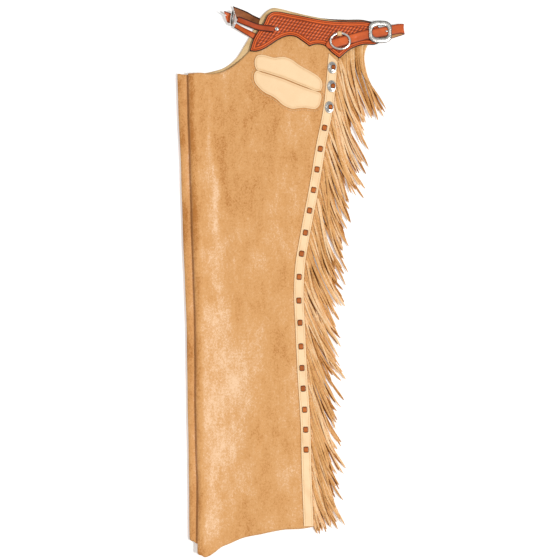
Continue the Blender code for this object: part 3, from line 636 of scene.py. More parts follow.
def near_front_z(x, y):
    """Upper front: the solid's form with its creases, which fade under the trim and at the roll."""
    flat = near_back_z(x, y) + roll_opening(NEAR_FOLD, x, y) - panel_drop(y) + soft_folds(x, y)
    inward = x - fold_centre(NEAR_FOLD, y)
    outward = curve(OUTSEAM, y) - SIDE_STRAP_WIDTH - x
    below = ease((300 - y) / 60) + ease((-80 - x) / 15) * ease((440 - y) / 40)
    fade = ease(inward / 14) * ease((outward - 4) / 24) * np.clip(below, 0, 1)
    return flat + fade * bells(x, y, CREASES, "rise")


def build_leg(name, node, fold, tops, front_z, back_z, hem_shift, edge_shift, finishes):
    """One leg: a panel from its front outseam edge, across, round the roll and back across.

    Columns run across (front, roll, back) and rows from the hem to the top; x is a share of the way from
    the fold to the outseam, y a share of the way from the hem curve to the top curve.
    """
    face_down = front_z is far_front_z
    rows = np.linspace(0, 1, LEG_GRID["rows"])
    front = (np.linspace(1, 0, LEG_GRID["front"]) ** 1.25)[:, None]
    back = (np.linspace(0, 1, LEG_GRID["back"]) ** 1.3)[:, None]
    turns = np.radians(np.linspace(0, 180, LEG_GRID["roll"])[1:-1])[:, None]

    def sheet_y(u, top_table, round_turn=0.0):
        top = curve(top_table, u, "y", "across")
        hem = curve(HEM, u, "y", "across") + hem_shift * (1 - 0.6 * u)
        hem = hem + HEM_CORNER * (0.35 * bell(u, 0.025) + 0.65 * np.sin(round_turn) ** 2)
        return hem + rows * (top - hem)

    def sheet_x(u, y):
        centre = fold_centre(fold, y)
        return centre + u * (curve(OUTSEAM, y) - edge_shift - centre)

    y = sheet_y(front, tops)
    x = sheet_x(front, y)
    front_part = np.stack((x, y, front_z(x, y)), -1)
    y_roll = sheet_y(0 * turns, tops, turns)
    centre = fold_centre(fold, y_roll)
    high, low = front_z(centre, y_roll), back_z(centre, y_roll)
    dent = 1 + 0.04 * np.sin(y_roll / 41) * np.sin(turns) + 0.03 * np.sin(y_roll / 17 + 2 * turns)
    level = np.sign(np.cos(turns)) * abs(np.cos(turns)) ** (2 / ROLL_POWER)
    roll_part = np.stack((
        centre - FOLD_RADIUS * dent * np.sin(turns) ** (2 / ROLL_POWER),
        y_roll,
        (high + low) / 2 + (high - low) / 2 * level,
    ), -1)
    y = sheet_y(back, BACK_TOP)
    x = sheet_x(back, y)
    back_part = np.stack((x, y, back_z(x, y)), -1)
    points = np.concatenate((front_part, roll_part, back_part))
    columns = points.shape[0]
    faces = grid_faces(columns, len(rows))
    if not face_down:
        faces = [face[::-1] for face in faces]
    around = np.concatenate((front, -turns / math.pi, -1 - back))
    uv = np.stack((np.broadcast_to(around, points.shape[:2]), np.broadcast_to(rows, points.shape[:2])), -1)
    x, y = points[..., 0], points[..., 1]
    inward = x - fold_centre(fold, y)
    # the nap's own patches, with painted highlights along the ridges beside the roll
    tone = bells(x, y, NAP_TONE_AND_HIGHLIGHTS, "tone")
    roll_shade = ROLL_SHADE["far" if face_down else "near"]
    # painted shade: each roll is darkened where it curves away from the light
    tone -= roll_shade["tone"] * ease((roll_shade["inward"] - inward) / roll_shade["fade"])
    edge = np.minimum(rows, 1 - rows) * LEG_LENGTH * np.ones((columns, 1))
    piece = add_mesh(name, points, faces, finishes, {"tone": tone, "edge": edge}, uv)
    wall = piece.modifiers.new("wall", "SOLIDIFY")
    wall.thickness = LEATHER * MM
    wall.offset = 0
    wall.use_even_offset = True
    wall.material_offset = 1
    wall.material_offset_rim = 2
    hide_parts(node)
    return piece


def outline_points(table, spacing):
    """A closed outline as even points: cubic Hermite on chord length, broken at the table's corners."""
    knots = np.stack((table["x"], table["y"]), -1).astype(float)
    count = len(knots)
    corners = table["corners"]
    if corners:
        chains = [(a, b if b > a else b + count) for a, b in zip(corners, corners[1:] + corners[:1])]
    else:
        chains = [(-3, count + 3)]
    pieces = []
    for first, last in chains:
        chain = knots[np.arange(first, last + 1) % count]
        run = np.concatenate(((0,), np.cumsum(np.hypot(*np.diff(chain, axis=0).T))))
        low, high = (0, run[-1]) if corners else (run[3], run[3 + count])
        at = np.linspace(low, high, max(int((high - low) / spacing), 2) + 1)[:-1]
        pieces.append(np.stack([curve({"k": run, "v": chain[:, axis]}, at, "v", "k") for axis in (0, 1)], -1))
    return np.concatenate(pieces)


def distance_to(outline, x, y):
    """Distance from each point to a closed outline's nearest edge."""
    nearest = np.full(x.shape, np.inf)
    for a, b in zip(outline, np.roll(outline, -1, axis=0)):
        side = b - a
        share = np.clip(((x - a[0]) * side[0] + (y - a[1]) * side[1]) / (side @ side), 0, 1)
        away = (x - a[0] - share * side[0]) ** 2 + (y - a[1] - share * side[1]) ** 2
        nearest = np.minimum(nearest, away)
    return np.sqrt(nearest)


def crossings(outline, x):
    """Lowest and highest y of a closed outline on the upright line at each x."""
    a, b = outline, np.roll(outline, -1, axis=0)
    run = b[:, 0] - a[:, 0]
    run = np.where(abs(run) < 1e-9, 1e-9, run)
    share = (x[:, None] - a[:, 0]) / run
    y = a[:, 1] + share * (b[:, 1] - a[:, 1])
    hit = (share >= 0) & (share <= 1)
    return np.where(hit, y, np.inf).min(1), np.where(hit, y, -np.inf).max(1)


def rounded_edge(inside):
    """How far a cut edge falls away: a quarter circle of EDGE_ROUND; inside is the distance to the edge."""
    near = np.maximum(EDGE_ROUND - inside, 0)
    return EDGE_ROUND - np.sqrt(np.maximum(EDGE_ROUND**2 - near**2, 0))


def build_slab(name, node, top, floor_z, finish, values):
    """A closed piece: a grid of top points, walls from its rim straight down to floor_z(y), one underside."""
    count, depth = top.shape[:2]
    index = np.arange(count * depth).reshape(count, depth)
    ring = np.concatenate((index[:, 0], index[-1, 1:], index[-2::-1, -1], index[0, -2:0:-1]))
    flat = top.reshape(-1, 3)
    lower = flat[ring].copy()
    lower[:, 2] = floor_z(lower[:, 1])
    foot = count * depth + np.arange(len(ring))
    walls = np.stack((ring, foot, np.roll(foot, -1), np.roll(ring, -1)), -1)
    faces = grid_faces(count, depth) + walls.tolist() + [foot.tolist()]
    padded = {key: np.concatenate((value.ravel(), 0 * foot)) for key, value in values.items()}
    piece = add_mesh(name, np.concatenate((flat, lower)), faces, (finish,), padded)
    turn_outwards(piece)
    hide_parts(node)
    return piece


def trim_base(y):
    """Underside of the pieces that lie on the upper front."""
    return panel_top(y) + SEAM_GAP


def build_plate(name, node, table, turn, thickness, relief, spacing, finish, base=trim_base):
    """A flat cut piece of the given outline, its columns upright once turned.

    Height: base(y) + thickness, less the rounded edge and relief(x, y, distance inside).
    """
    spin = math.radians(turn)
    rotate = np.array(((math.cos(spin), math.sin(spin)), (-math.sin(spin), math.cos(spin))))
    outline = outline_points(table, 1.5)
    turned = outline @ rotate.T
    left, right = turned[:, 0].min(), turned[:, 0].max()
    ends = np.array(PLATE_ENDS)
    across = np.concatenate((np.linspace(0.012, 0.988, int((right - left) / spacing)), ends, 1 - ends))
    u = left + (right - left) * np.sort(across)
    low, high = crossings(turned, u)
    tallest = (high - low).max()
    rim = np.array(RIM_ROWS) / tallest
    share = np.concatenate((np.linspace(0.03, 0.97, int(tallest / spacing)), rim, 1 - rim))
    v = low[:, None] + np.sort(share) * (high - low)[:, None]
    plan = np.stack((np.broadcast_to(u[:, None], v.shape), v), -1) @ rotate
    x, y = plan[..., 0], plan[..., 1]
    inside = distance_to(outline, x, y)
    carved = relief(x, y, inside)
    z = base(y) + thickness - rounded_edge(inside) - carved
    values = {"relief": carved, "edge": inside}
    return build_slab(name, node, np.stack((x, y, z), -1), base, finish, values)


def groove(distance, centre, width, depth):
    """A rounded channel: depth times a bell about its centre line."""
    return depth * bell(distance - centre, width)


def yoke_relief(x, y, inside):
    """Tooling of the yoke: two beaded borders and, within them, basket weave of slanting strokes in rows.

    Rows lie at WEAVE_LEAN, WEAVE_PITCH apart; a stroke is a bulge cos squared across its slant, tapered to
    the row's edges, and each row is set half a pitch from the last.
    """
    lean = math.radians(WEAVE_LEAN)
    along = x * math.cos(lean) + y * math.sin(lean)
    across = y * math.cos(lean) - x * math.sin(lean)
    row = np.floor(across / WEAVE_PITCH)
    t = across / WEAVE_PITCH - row - 0.5
    phase = along / WEAVE_PITCH - t * WEAVE_SLANT + 0.5 * row
    stroke = np.cos(math.pi * phase) ** 2
    bulge = stroke**0.7 * (1 - (2 * abs(t)) ** 4)
    field = ease((inside - WEAVE_INSET) / 0.8)
    border = sum(groove(inside, *line) for line in BORDER_LINES)
    beads = 0.5 + 0.5 * np.cos(2 * math.pi * along / BEAD_STEP)
    border += 0.2 * bell(inside - BEAD_INSET, 0.6) * beads
    return border + field * WEAVE_DEPTH * (1 - bulge)


def plain_relief(x, y, inside):
    """No tooling."""
    return 0 * inside


def patch_relief(x, y, inside):
    """A sewn patch: a shallow channel where the stitches lie, and a soft puff within it."""
    return groove(inside, STITCH_INSET, 0.7, 0.35) + 0.15 * ease((8 - inside) / 8)


def build_side_strap(finish):
    """The strip over the outseam: across by u, up by v, its top edge on the yoke's point.

    x = outseam(y) less the width times 1 - u, y = foot + v (top(u) - foot); height as a plate's, with a
    channel for each row of stitches.
    """
    rim = np.array(RIM_ROWS)
    middle = np.linspace(1.8, SIDE_STRAP_WIDTH - 1.8, 26)
    wide = np.sort(np.concatenate((middle, rim, SIDE_STRAP_WIDTH - rim)))
    u = (wide / SIDE_STRAP_WIDTH)[:, None]
    long = SIDE_STRAP_Y["left_top"] - SIDE_STRAP_Y["foot"]
    v = np.sort(np.concatenate((np.linspace(0.002, 0.998, 420), rim / long, 1 - rim / long)))
    top = SIDE_STRAP_Y["left_top"] + u * (SIDE_STRAP_Y["right_top"] - SIDE_STRAP_Y["left_top"])
    y = SIDE_STRAP_Y["foot"] + v * (top - SIDE_STRAP_Y["foot"])
    x = curve(OUTSEAM, y) - SIDE_STRAP_WIDTH * (1 - u)
    sides = np.minimum(wide, SIDE_STRAP_WIDTH - wide)[:, None]
    inside = np.minimum(sides, np.minimum(y - SIDE_STRAP_Y["foot"], top - y))
    carved = groove(sides, STITCH_INSET, 0.6, 0.3) + 0.12 * np.sin(y / 9 + 4 * u) * np.sin(y / 37)
    z = panel_top(y) + SEAM_GAP + TRIM_LEATHER - rounded_edge(inside) - carved - 0.12
    values = {"relief": carved, "edge": inside}
    return build_slab("side_strap_leather", "side_strap", np.stack((x, y, z), -1), trim_base, finish,
                      values)


def strap_frames(table, per_step):
    """Points, wide and thick directions and widths along a strap's path, by smooth curves of its table."""
    knots = np.arange(len(table["x"]), dtype=float)
    at = np.linspace(0, knots[-1], int(knots[-1]) * per_step + 1)
    rows = {key: curve({"k": knots, "v": table[key]}, at, "v", "k") for key in table}
    path = np.stack((rows["x"], rows["y"], rows["z"]), -1)
    along = np.gradient(path, axis=0)
    along /= np.linalg.norm(along, axis=1)[:, None]
    runs_level = np.hypot(along[:, 0], along[:, 1]) > 0.6
    heading = np.arctan2(along[:, 1], along[:, 0]) % math.pi
    heading = np.interp(at, at[runs_level], np.unwrap(2 * heading[runs_level]) / 2)
    level = np.stack((-np.sin(heading), np.cos(heading), 0 * heading), -1)
    up = np.cross(along, level)
    turn = np.radians(rows["turn"])[:, None]
    wide = level * np.cos(turn) + up * np.sin(turn)
    thick = up * np.cos(turn) - level * np.sin(turn)
    if "skew" in rows:
        wide = wide + along * np.tan(np.radians(rows["skew"]))[:, None]
    return path, wide, thick, rows["width"]


def build_strap(name, node, table, thickness, per_step, round_start, holes, finish):
    """A strap swept along its path: a flat section with rounded edges, a crease line beside each edge.

    Section: s from -1 to 1 across on the top and back on the underside; height half the thickness times
    (1 - s to the 8th) to the power 0.4, less the crease. round_start closes the first end to a half circle,
    and each hole is a dimple at its x and y.
    """
    path, wide, thick, width = strap_frames(table, per_step)
    run = np.concatenate(((0,), np.cumsum(np.linalg.norm(np.diff(path, axis=0), axis=1))))
    if round_start:
        width = width * np.sqrt(1 - (1 - np.clip((run + 0.15) / round_start, 0, 1)) ** 2)
    s = -np.cos(np.linspace(0, math.pi, 27))
    s = np.sign(s) * abs(s) ** 0.8
    height = (1 - abs(s) ** 8) ** 0.4 / 2
    across = np.concatenate((s, s[-2:0:-1]))
    rise = np.concatenate((height, -height[-2:0:-1]))
    inside = (1 - abs(across)) * width[:, None] / 2
    crease = 0.35 * bell(inside - 1.9, 0.45) * (rise > 0)
    lift = rise * thickness - crease
    points = path[:, None] + wide[:, None] * (across * width[:, None] / 2)[..., None]
    for x, y in holes:
        away = np.hypot(points[..., 0] - x, points[..., 1] - y)
        lift = lift - 1.3 * (rise > 0.2) * ease((2.6 - away) / 1.2)
    points = points + thick[:, None] * lift[..., None]
    count, sides = points.shape[:2]
    index = np.arange(count * sides).reshape(count, sides)
    faces = grid_faces(count, sides, ring=True) + [index[0].tolist(), index[-1][::-1].tolist()]
    flesh = np.broadcast_to(rise < 0, crease.shape)
    values = {"relief": crease, "edge": inside, "flesh": flesh}
    piece = add_mesh(name, points, faces, (finish,), values)
    turn_outwards(piece)
    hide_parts(node)
    return piece


def superellipse(count, size, power):
    """Points of |x/a|^n + |y/b|^n = 1 at even turns."""
    turn = np.linspace(0, 2 * math.pi, count, endpoint=False)
    cosine, sine = np.cos(turn), np.sin(turn)
    x = np.sign(cosine) * abs(cosine) ** (2 / power) * size[0] / 2
    y = np.sign(sine) * abs(sine) ** (2 / power) * size[1] / 2
    return turn, x, y


def build_loop(name, node, loop, power, worked, lean, finish):
    """A metal loop: a bar bent round a superellipse, its face engraved with leaf scrolls worked deep.

    Points turn by theta round the loop and phi round the bar, an ellipse of the bar's width and height,
    as wide as end_bar at the loop's top and bottom; two crossing waves of theta and phi draw the scrolls,
    between two cut lines. lean stands the loop upright.
    """
    size, bar = loop["size"], loop["bar"]
    count, sides = 220, 32
    _, x, y = superellipse(count, size, power)
    flat = np.stack((x, y, 0 * x), -1)
    along = np.roll(flat, -1, axis=0) - np.roll(flat, 1, axis=0)
    along /= np.linalg.norm(along, axis=1)[:, None]
    out = np.cross(along, (0, 0, 1.0))
    phi = np.linspace(0, 2 * math.pi, sides, endpoint=False)
    run = np.cumsum(np.linalg.norm(np.roll(flat, -1, axis=0) - flat, axis=1))[:, None]
    waves = np.sin(2 * math.pi * run / 5.2 + 2.2 * np.sin(phi)) * np.sin(math.pi * run / 5.2 - 2 * phi)
    face = ease((np.sin(phi) + 0.1) / 0.6)
    lines = bell(abs(np.cos(phi)) - 0.7, 0.07)
    depth = worked * face * (0.5 - 0.5 * np.tanh(3 * waves) + 1.6 * lines) * (abs(np.cos(phi)) < 0.95)
    width = bar[0] + (loop["end_bar"] - bar[0]) * ease(abs(flat[:, 1:2]) / (size[1] / 2))
    wide = (width / 2 - depth) * np.cos(phi)
    high = (bar[1] / 2 - depth) * np.sin(phi)
    points = flat[:, None] + out[:, None] * wide[..., None] + np.array((0, 0, 1.0)) * high[..., None]
    if lean is not None:
        tilt = math.radians(lean)
        x, y, z = points[..., 0], points[..., 1], points[..., 2]
        points = np.stack((z + y * math.sin(tilt), y * math.cos(tilt), x), -1)
    points = points + np.array(loop["centre"])
    # painted dark reflection with tarnish: the bar's inner and outer sides darkened for the loop's dark
    # outline
    side_tarnish_and_reflection = 0.45 * ease((abs(np.cos(phi)) - 0.8) / 0.15) + 0 * depth
    values = {"relief": depth + side_tarnish_and_reflection, "edge": np.full(depth.shape, 3.0)}
    piece = add_mesh(name, points, grid_faces(count, sides, True, True), (finish,), values)
    turn_outwards(piece)
    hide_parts(node)
    return piece


def build_dome(name, node, centre, base, size, power, turn, profile, finish, shape=None):
    """A cap of nested superellipses: profile gives (share of size, height) rings from the foot to the crown.

    shape(share, turn) is added to the height of each point above the foot, for petals, ropes or folds.
    """
    sides = 56
    around, x, y = superellipse(sides, size, power)
    share, rise = (np.array(column)[:, None] for column in zip(*profile))
    height = np.broadcast_to(rise, (len(share), sides)).copy()
    if shape is not None:
        height += np.where(rise > 0.3, shape(share, around), 0)
    spin = math.radians(turn)
    px = share * (x * math.cos(spin) - y * math.sin(spin)) + centre[0]
    py = share * (x * math.sin(spin) + y * math.cos(spin)) + centre[1]
    points = np.stack((px, py, base + height), -1)
    count = len(share)
    index = np.arange(count * sides).reshape(count, sides)
    faces = grid_faces(count, sides, ring=True) + [index[0].tolist(), index[-1].tolist()]
    carved = np.broadcast_to(rise, height.shape) - height
    values = {"relief": carved - carved.min(), "edge": (1 - share) * size[0] / 2 + 0 * height}
    piece = add_mesh(name, points, faces, (finish,), values)
    turn_outwards(piece)
    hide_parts(node)
    return piece


def fringe_roots(edge_out, lift):
    """Plan points half a STRAND_PITCH apart along the fringe's cut line, from under the yoke to the hem."""
    y = np.arange(FRINGE_TOP_Y, FRINGE_END_Y, -4.0)
    seam_x = curve(OUTSEAM, y) + edge_out
    x = np.concatenate((np.array(FRINGE_ROOTS["x"]) - 1 + edge_out, seam_x))
    y = np.concatenate((np.array(FRINGE_ROOTS["y"]) + lift, y))
    run = np.concatenate(((0,), np.cumsum(np.hypot(np.diff(x), np.diff(y)))))
    at = np.arange(0, run[-1], STRAND_PITCH / 2)
    return np.stack((np.interp(at, run, x), np.interp(at, run, y)), -1)


def strand_heading(run, length, start_x, hang, under_yoke, fine):
    """Heading in degrees along a strand.

    At the seam: SEAM_HEADING, turned over ROOT_TURN to a little steeper than hang, then swung out towards
    the tip by FAN. Under the yoke: YOKE_LEAN at its x, straight down after LEAN_RUN, then out past hang.
    """
    wave = fine.uniform(1.5, 6) * np.sin(run / fine.uniform(15, 36) + fine.uniform(0, 6)) * ease(run / 45)
    fan = FAN * fine.uniform(0.2, 1.8)
    if under_yoke:
        lean = float(curve(YOKE_LEAN, start_x, "angle", "x"))
        first = lean + (-87 - lean) * ease(run / LEAN_RUN)
        out = float(curve(YOKE_LEAN, start_x, "out", "x"))
        return first + (hang + out - first) * ease((run - 0.6 * LEAN_RUN) / 62) + wave * ease(run / 80)
    swung = hang + fan * (1.8 * (run / length) ** 2.2 - 0.35)
    return SEAM_HEADING + (swung + wave - SEAM_HEADING) * ease(run / min(ROOT_TURN, 0.4 * length))


def strand_grid(start, root_angle, hang, length, header_z, order, lane_z, fine):
    """One cut strand: a thin strip that follows its heading, leaves the header's layer, twists and points.

    Under the yoke it stays as wide as its share of the pitch over UNCUT_RUN, so that the leather there
    is whole. Its layer is ROOT_LANE_STEP apart at the root and LANE_STEP apart where it lies free.
    """
    run = np.linspace(0, 1, 27) ** 1.1 * length
    under_yoke = root_angle < YOKE_ROOT_ANGLE
    angle = np.radians(strand_heading(run, length, start[0], hang, under_yoke, fine))
    stride = np.diff(run, prepend=0)
    middle = np.concatenate((angle[:1], (angle[1:] + angle[:-1]) / 2))
    x = start[0] + np.cumsum(np.cos(middle) * stride)
    y = start[1] + np.cumsum(np.sin(middle) * stride)
    cut = STRAND_PITCH / CUTS
    own = cut * fine.uniform(0.72, 1.12)
    if under_yoke:
        parts = ease((run - UNCUT_RUN * fine.uniform(0.5, 1.0)) / 26)
        width = own + (cut * 1.03 * abs(math.cos(angle[0] - math.radians(root_angle))) - own) * (1 - parts)
        z = header_z + (lane_z + LANE_STEP * order - header_z) * parts
    else:
        parts = ease((run - 6) / 30)
        width = own * (0.8 + 0.2 * ease(run / 25))
        root_z = header_z + ROOT_LANE_STEP * (order - 1.5)
        z = root_z + (lane_z + LANE_STEP * order - root_z) * parts
    z = z + 0.4 * np.sin(run / fine.uniform(13, 26) + fine.uniform(0, 6)) * parts
    tip = np.clip((length - run) / fine.uniform(6, 20), 0, 1)
    half = width / 2 * (0.3 + 0.7 * tip**0.7) * (1 - 0.15 * run / length * parts)
    steady, swing = fine.uniform(4, 13), fine.uniform(4, 24)
    twist = steady + swing * np.sin(run / fine.uniform(18, 38) + fine.uniform(0, 6))
    twist = np.radians(twist) * parts
    s = np.array((-1, -0.45, 0.45, 1))
    side = np.stack((-np.sin(angle) * np.cos(twist), np.cos(angle) * np.cos(twist), np.sin(twist)), -1)
    path = np.stack((x, y, z), -1)[:, None] + side[:, None] * (half[:, None] * s)[..., None]
    deep = STRAND_THICKNESS / 2 * (1 - 0.45 * abs(s) ** 3)
    upper, lower = path.copy(), path[:, ::-1].copy()
    upper[..., 2] += deep
    lower[..., 2] -= deep
    grid = np.concatenate((upper, lower), 1)
    grid[..., 2] = np.maximum(grid[..., 2], 0.02)
    return grid


def build_fringe(name, node, edge_out, lift, header_z, lane_z, end_y, seed, tones, finish):
    """A fringe: its header strip and, for each strand of the solid, CUTS narrower strands.

    tones is the range of the strands' tones, which differ at random; the lower fringe's range is low, painted
    shade beneath the upper fringe, and strands under the yoke are darkened by YOKE_SHADE, painted shade too.
    """
    rng = random.Random(seed)
    fine = random.Random(seed + 1)
    marks = fringe_roots(edge_out, lift)
    along = np.gradient(marks, axis=0)
    along /= np.linalg.norm(along, axis=1)[:, None]
    outward = np.stack((-along[:, 1], along[:, 0]), -1)
    height = header_z(marks[:, 1])
    deep = HEADER_THICKNESS / 2
    thin = 0.4 * deep
    section = ((-HEADER_WIDTH, -deep), (HEADER_REACH, -thin), (HEADER_REACH, thin), (-HEADER_WIDTH, deep))
    header = np.stack([np.concatenate((marks + outward * out, (height + up)[:, None]), 1)
                       for out, up in section], 1)
    count = len(marks)
    index = np.arange(count * 4).reshape(count, 4)
    points = [header.reshape(-1, 3)]
    faces = grid_faces(count, 4, ring=True) + [index[0].tolist(), index[-1].tolist()]
    tone = [np.zeros(count * 4)]
    start = count * 4
    clump, left_in_clump = 0.0, 0
    for strand, mark in enumerate(range(1, count - 1, 2)):
        root_angle = math.degrees(math.atan2(outward[mark][1], outward[mark][0]))
        under_yoke = root_angle < YOKE_ROOT_ANGLE
        if left_in_clump == 0:
            clump = rng.uniform(-CLUMP_LEAN, CLUMP_LEAN)
            left_in_clump = rng.randint(*CLUMP_STRANDS)
        left_in_clump -= 1
        hang = float(curve(STRAND_HANG, marks[mark][1], "angle"))
        hang += clump + rng.uniform(-STRAND_LEAN, STRAND_LEAN)
        room = max((marks[mark][1] - end_y + STRAND_WIDTH) / STRAND_FALL, 3 * STRAND_WIDTH)
        longest = STRAND_LENGTH * rng.uniform(*STRAND_LENGTH_SPREAD)
        length = min(longest, room * rng.uniform(0.9, 1.0))
        order = LANE_ORDER[strand % len(LANE_ORDER)]
        for cut in range(CUTS):
            place = (cut + 0.5) / CUTS - 0.5
            root = marks[mark] + along[mark] * STRAND_PITCH * place - outward[mark] * 1.5
            own_hang = hang + fine.uniform(*OWN_LEAN)
            own_length = length * fine.uniform(SHORTEST["yoke" if under_yoke else "seam"], 1.03)
            grid = strand_grid(root, root_angle, own_hang, own_length, float(height[mark]),
                               order + 0.5 * cut, lane_z, fine)
            points.append(grid.reshape(-1, 3))
            faces += grid_faces(*grid.shape[:2], ring=True, start=start)
            end = start + grid.shape[0] * grid.shape[1]
            faces += [list(range(start, start + grid.shape[1])), list(range(end - grid.shape[1], end))]
            # a random tone for each strand, less painted shade for strands under the yoke
            shade = fine.uniform(*tones) - YOKE_SHADE * under_yoke
            tone.append(np.full(end - start, shade))
            start = end
    piece = add_mesh(name, np.concatenate(points), faces, (finish,), {"tone": np.concatenate(tone)})
    turn_outwards(piece)
    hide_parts(node)
    return piece


def build_stitches(name, path, heights, finish):
    """Thread along a closed or open row of points: one capsule a stitch, its ends sunk into the leather.

    Each capsule is a tube of six sides and five rings whose radius is a half circle of its length.
    """
    run = np.concatenate(((0,), np.cumsum(np.hypot(*np.diff(path, axis=0).T))))
    count = int(run[-1] / STITCH_STEP)
    middles = (np.arange(count) + 0.5) * run[-1] / count
    t = np.linspace(-1, 1, 7)
    at = middles[:, None] + t * STITCH_STEP * 0.40
    x, y, z = (np.interp(at, run, value) for value in (path[:, 0], path[:, 1], heights))
    ahead = np.interp(at + 0.3, run, path[:, 0]) - x, np.interp(at + 0.3, run, path[:, 1]) - y
    size = np.hypot(*ahead) + 1e-9
    nx, ny = -ahead[1] / size, ahead[0] / size
    radius = STITCH_RADIUS * np.sqrt(np.maximum(1 - t**6, 0.03))
    arch = STITCH_RADIUS * (0.9 - 1.5 * t**4)
    around = np.linspace(0, 2 * math.pi, 6, endpoint=False)
    sideways = radius[None, :, None] * np.cos(around)
    px = x[..., None] + nx[..., None] * sideways
    py = y[..., None] + ny[..., None] * sideways
    pz = z[..., None] + arch[None, :, None] + radius[None, :, None] * np.sin(around)
    points = np.stack((px, py, pz), -1)
    one = np.arange(7 * 6).reshape(7, 6)
    faces = []
    tube = np.array(grid_faces(7, 6, ring=True))
    for stitch in range(count):
        faces += (tube + stitch * 42).tolist()
        faces += [(one[0] + stitch * 42).tolist(), (one[-1] + stitch * 42).tolist()]
    piece = add_mesh(name, points, faces, (finish,), {"edge": np.full(px.shape, 3.0)})
    turn_outwards(piece)
    return piece


def concho_shape(share, turn):
    """A roped rim and petals: a wave round the rim, and lobes that rise towards the crown."""
    rope = 0.07 * np.cos(26 * turn) * bell(share - 0.93, 0.05)
    petals = 0.1 * np.cos(10 * turn) * bell(share - 0.66, 0.14)
    return rope + petals


def lace_shape(share, turn):
    """A flat lace that dips where it goes down through its slits, above and below."""
    return -0.45 * np.sin(turn) ** 4 * share**2


def knot_shape(share, turn):
    """Two wraps of lace: a saddle over the crown."""
    return 0.35 * np.cos(2 * turn + 0.6) * share * (1 - share) * 2


def strap_axis(y):
    """Centre and lean in degrees of the side strap at a height."""
    centre = float(curve(OUTSEAM, y)) - SIDE_STRAP_WIDTH / 2
    slope = float(curve(OUTSEAM, y + 10) - curve(OUTSEAM, y - 10)) / 20
    return centre, -math.degrees(math.atan(slope))


def build_trim(finishes):
    """Conchos with their lace knots, and the squares of lace down the strap."""
    top = float(panel_top(0)) + SEAM_GAP + TRIM_LEATHER + SEAM_GAP
    rise = CONCHO_SIZE[2]
    dome = [(0.93, 0), (0.985, 0.15), (1, 0.4), (0.985, 0.75), (0.95, 1.05), (0.9, 1.15), (0.86, 1.1),
            (0.8, 1.35), (0.7, 1.9), (0.58, 2.4), (0.44, 2.8), (0.3, rise - 0.15), (0.15, rise), (0.02, rise)]
    knot = [(0.95, 0), (1, 0.5), (0.97, 1.0), (0.88, 1.5), (0.72, 1.85), (0.5, 2.1), (0.25, 2.2), (0.02, 2.2)]
    square = [(0.97, 0), (1, 0.25), (0.995, 0.5), (0.96, 0.8), (0.9, 1.0), (0.8, 1.12), (0.6, 1.2),
              (0.3, 1.2), (0.02, 1.2)]
    made = []
    beside = CONCHO_LACE["offset"]
    for number, (x, y) in enumerate(zip(CONCHOS["x"], CONCHOS["y"]), 1):
        made.append(build_dome(f"concho_{number}_silver", f"concho_{number}", (x, y), top, CONCHO_SIZE, 2.0,
                               0, dome, finishes["silver"], concho_shape))
        place = (x + beside[0], y + beside[1])
        made.append(build_dome(f"concho_{number}_knot", f"concho_lace_{number}", place,
                               top + rise + SEAM_GAP, CONCHO_LACE["size"], 2.6, 0, knot, finishes["lace"],
                               knot_shape))
    for number, y in enumerate(LACE_Y, 1):
        x, lean = strap_axis(y)
        made.append(build_dome(f"lace_{number:02d}_square", f"lace_{number:02d}", (x, y), top, LACE_SIZE,
                               5.0, lean, square, finishes["lace"], lace_shape))
    return made


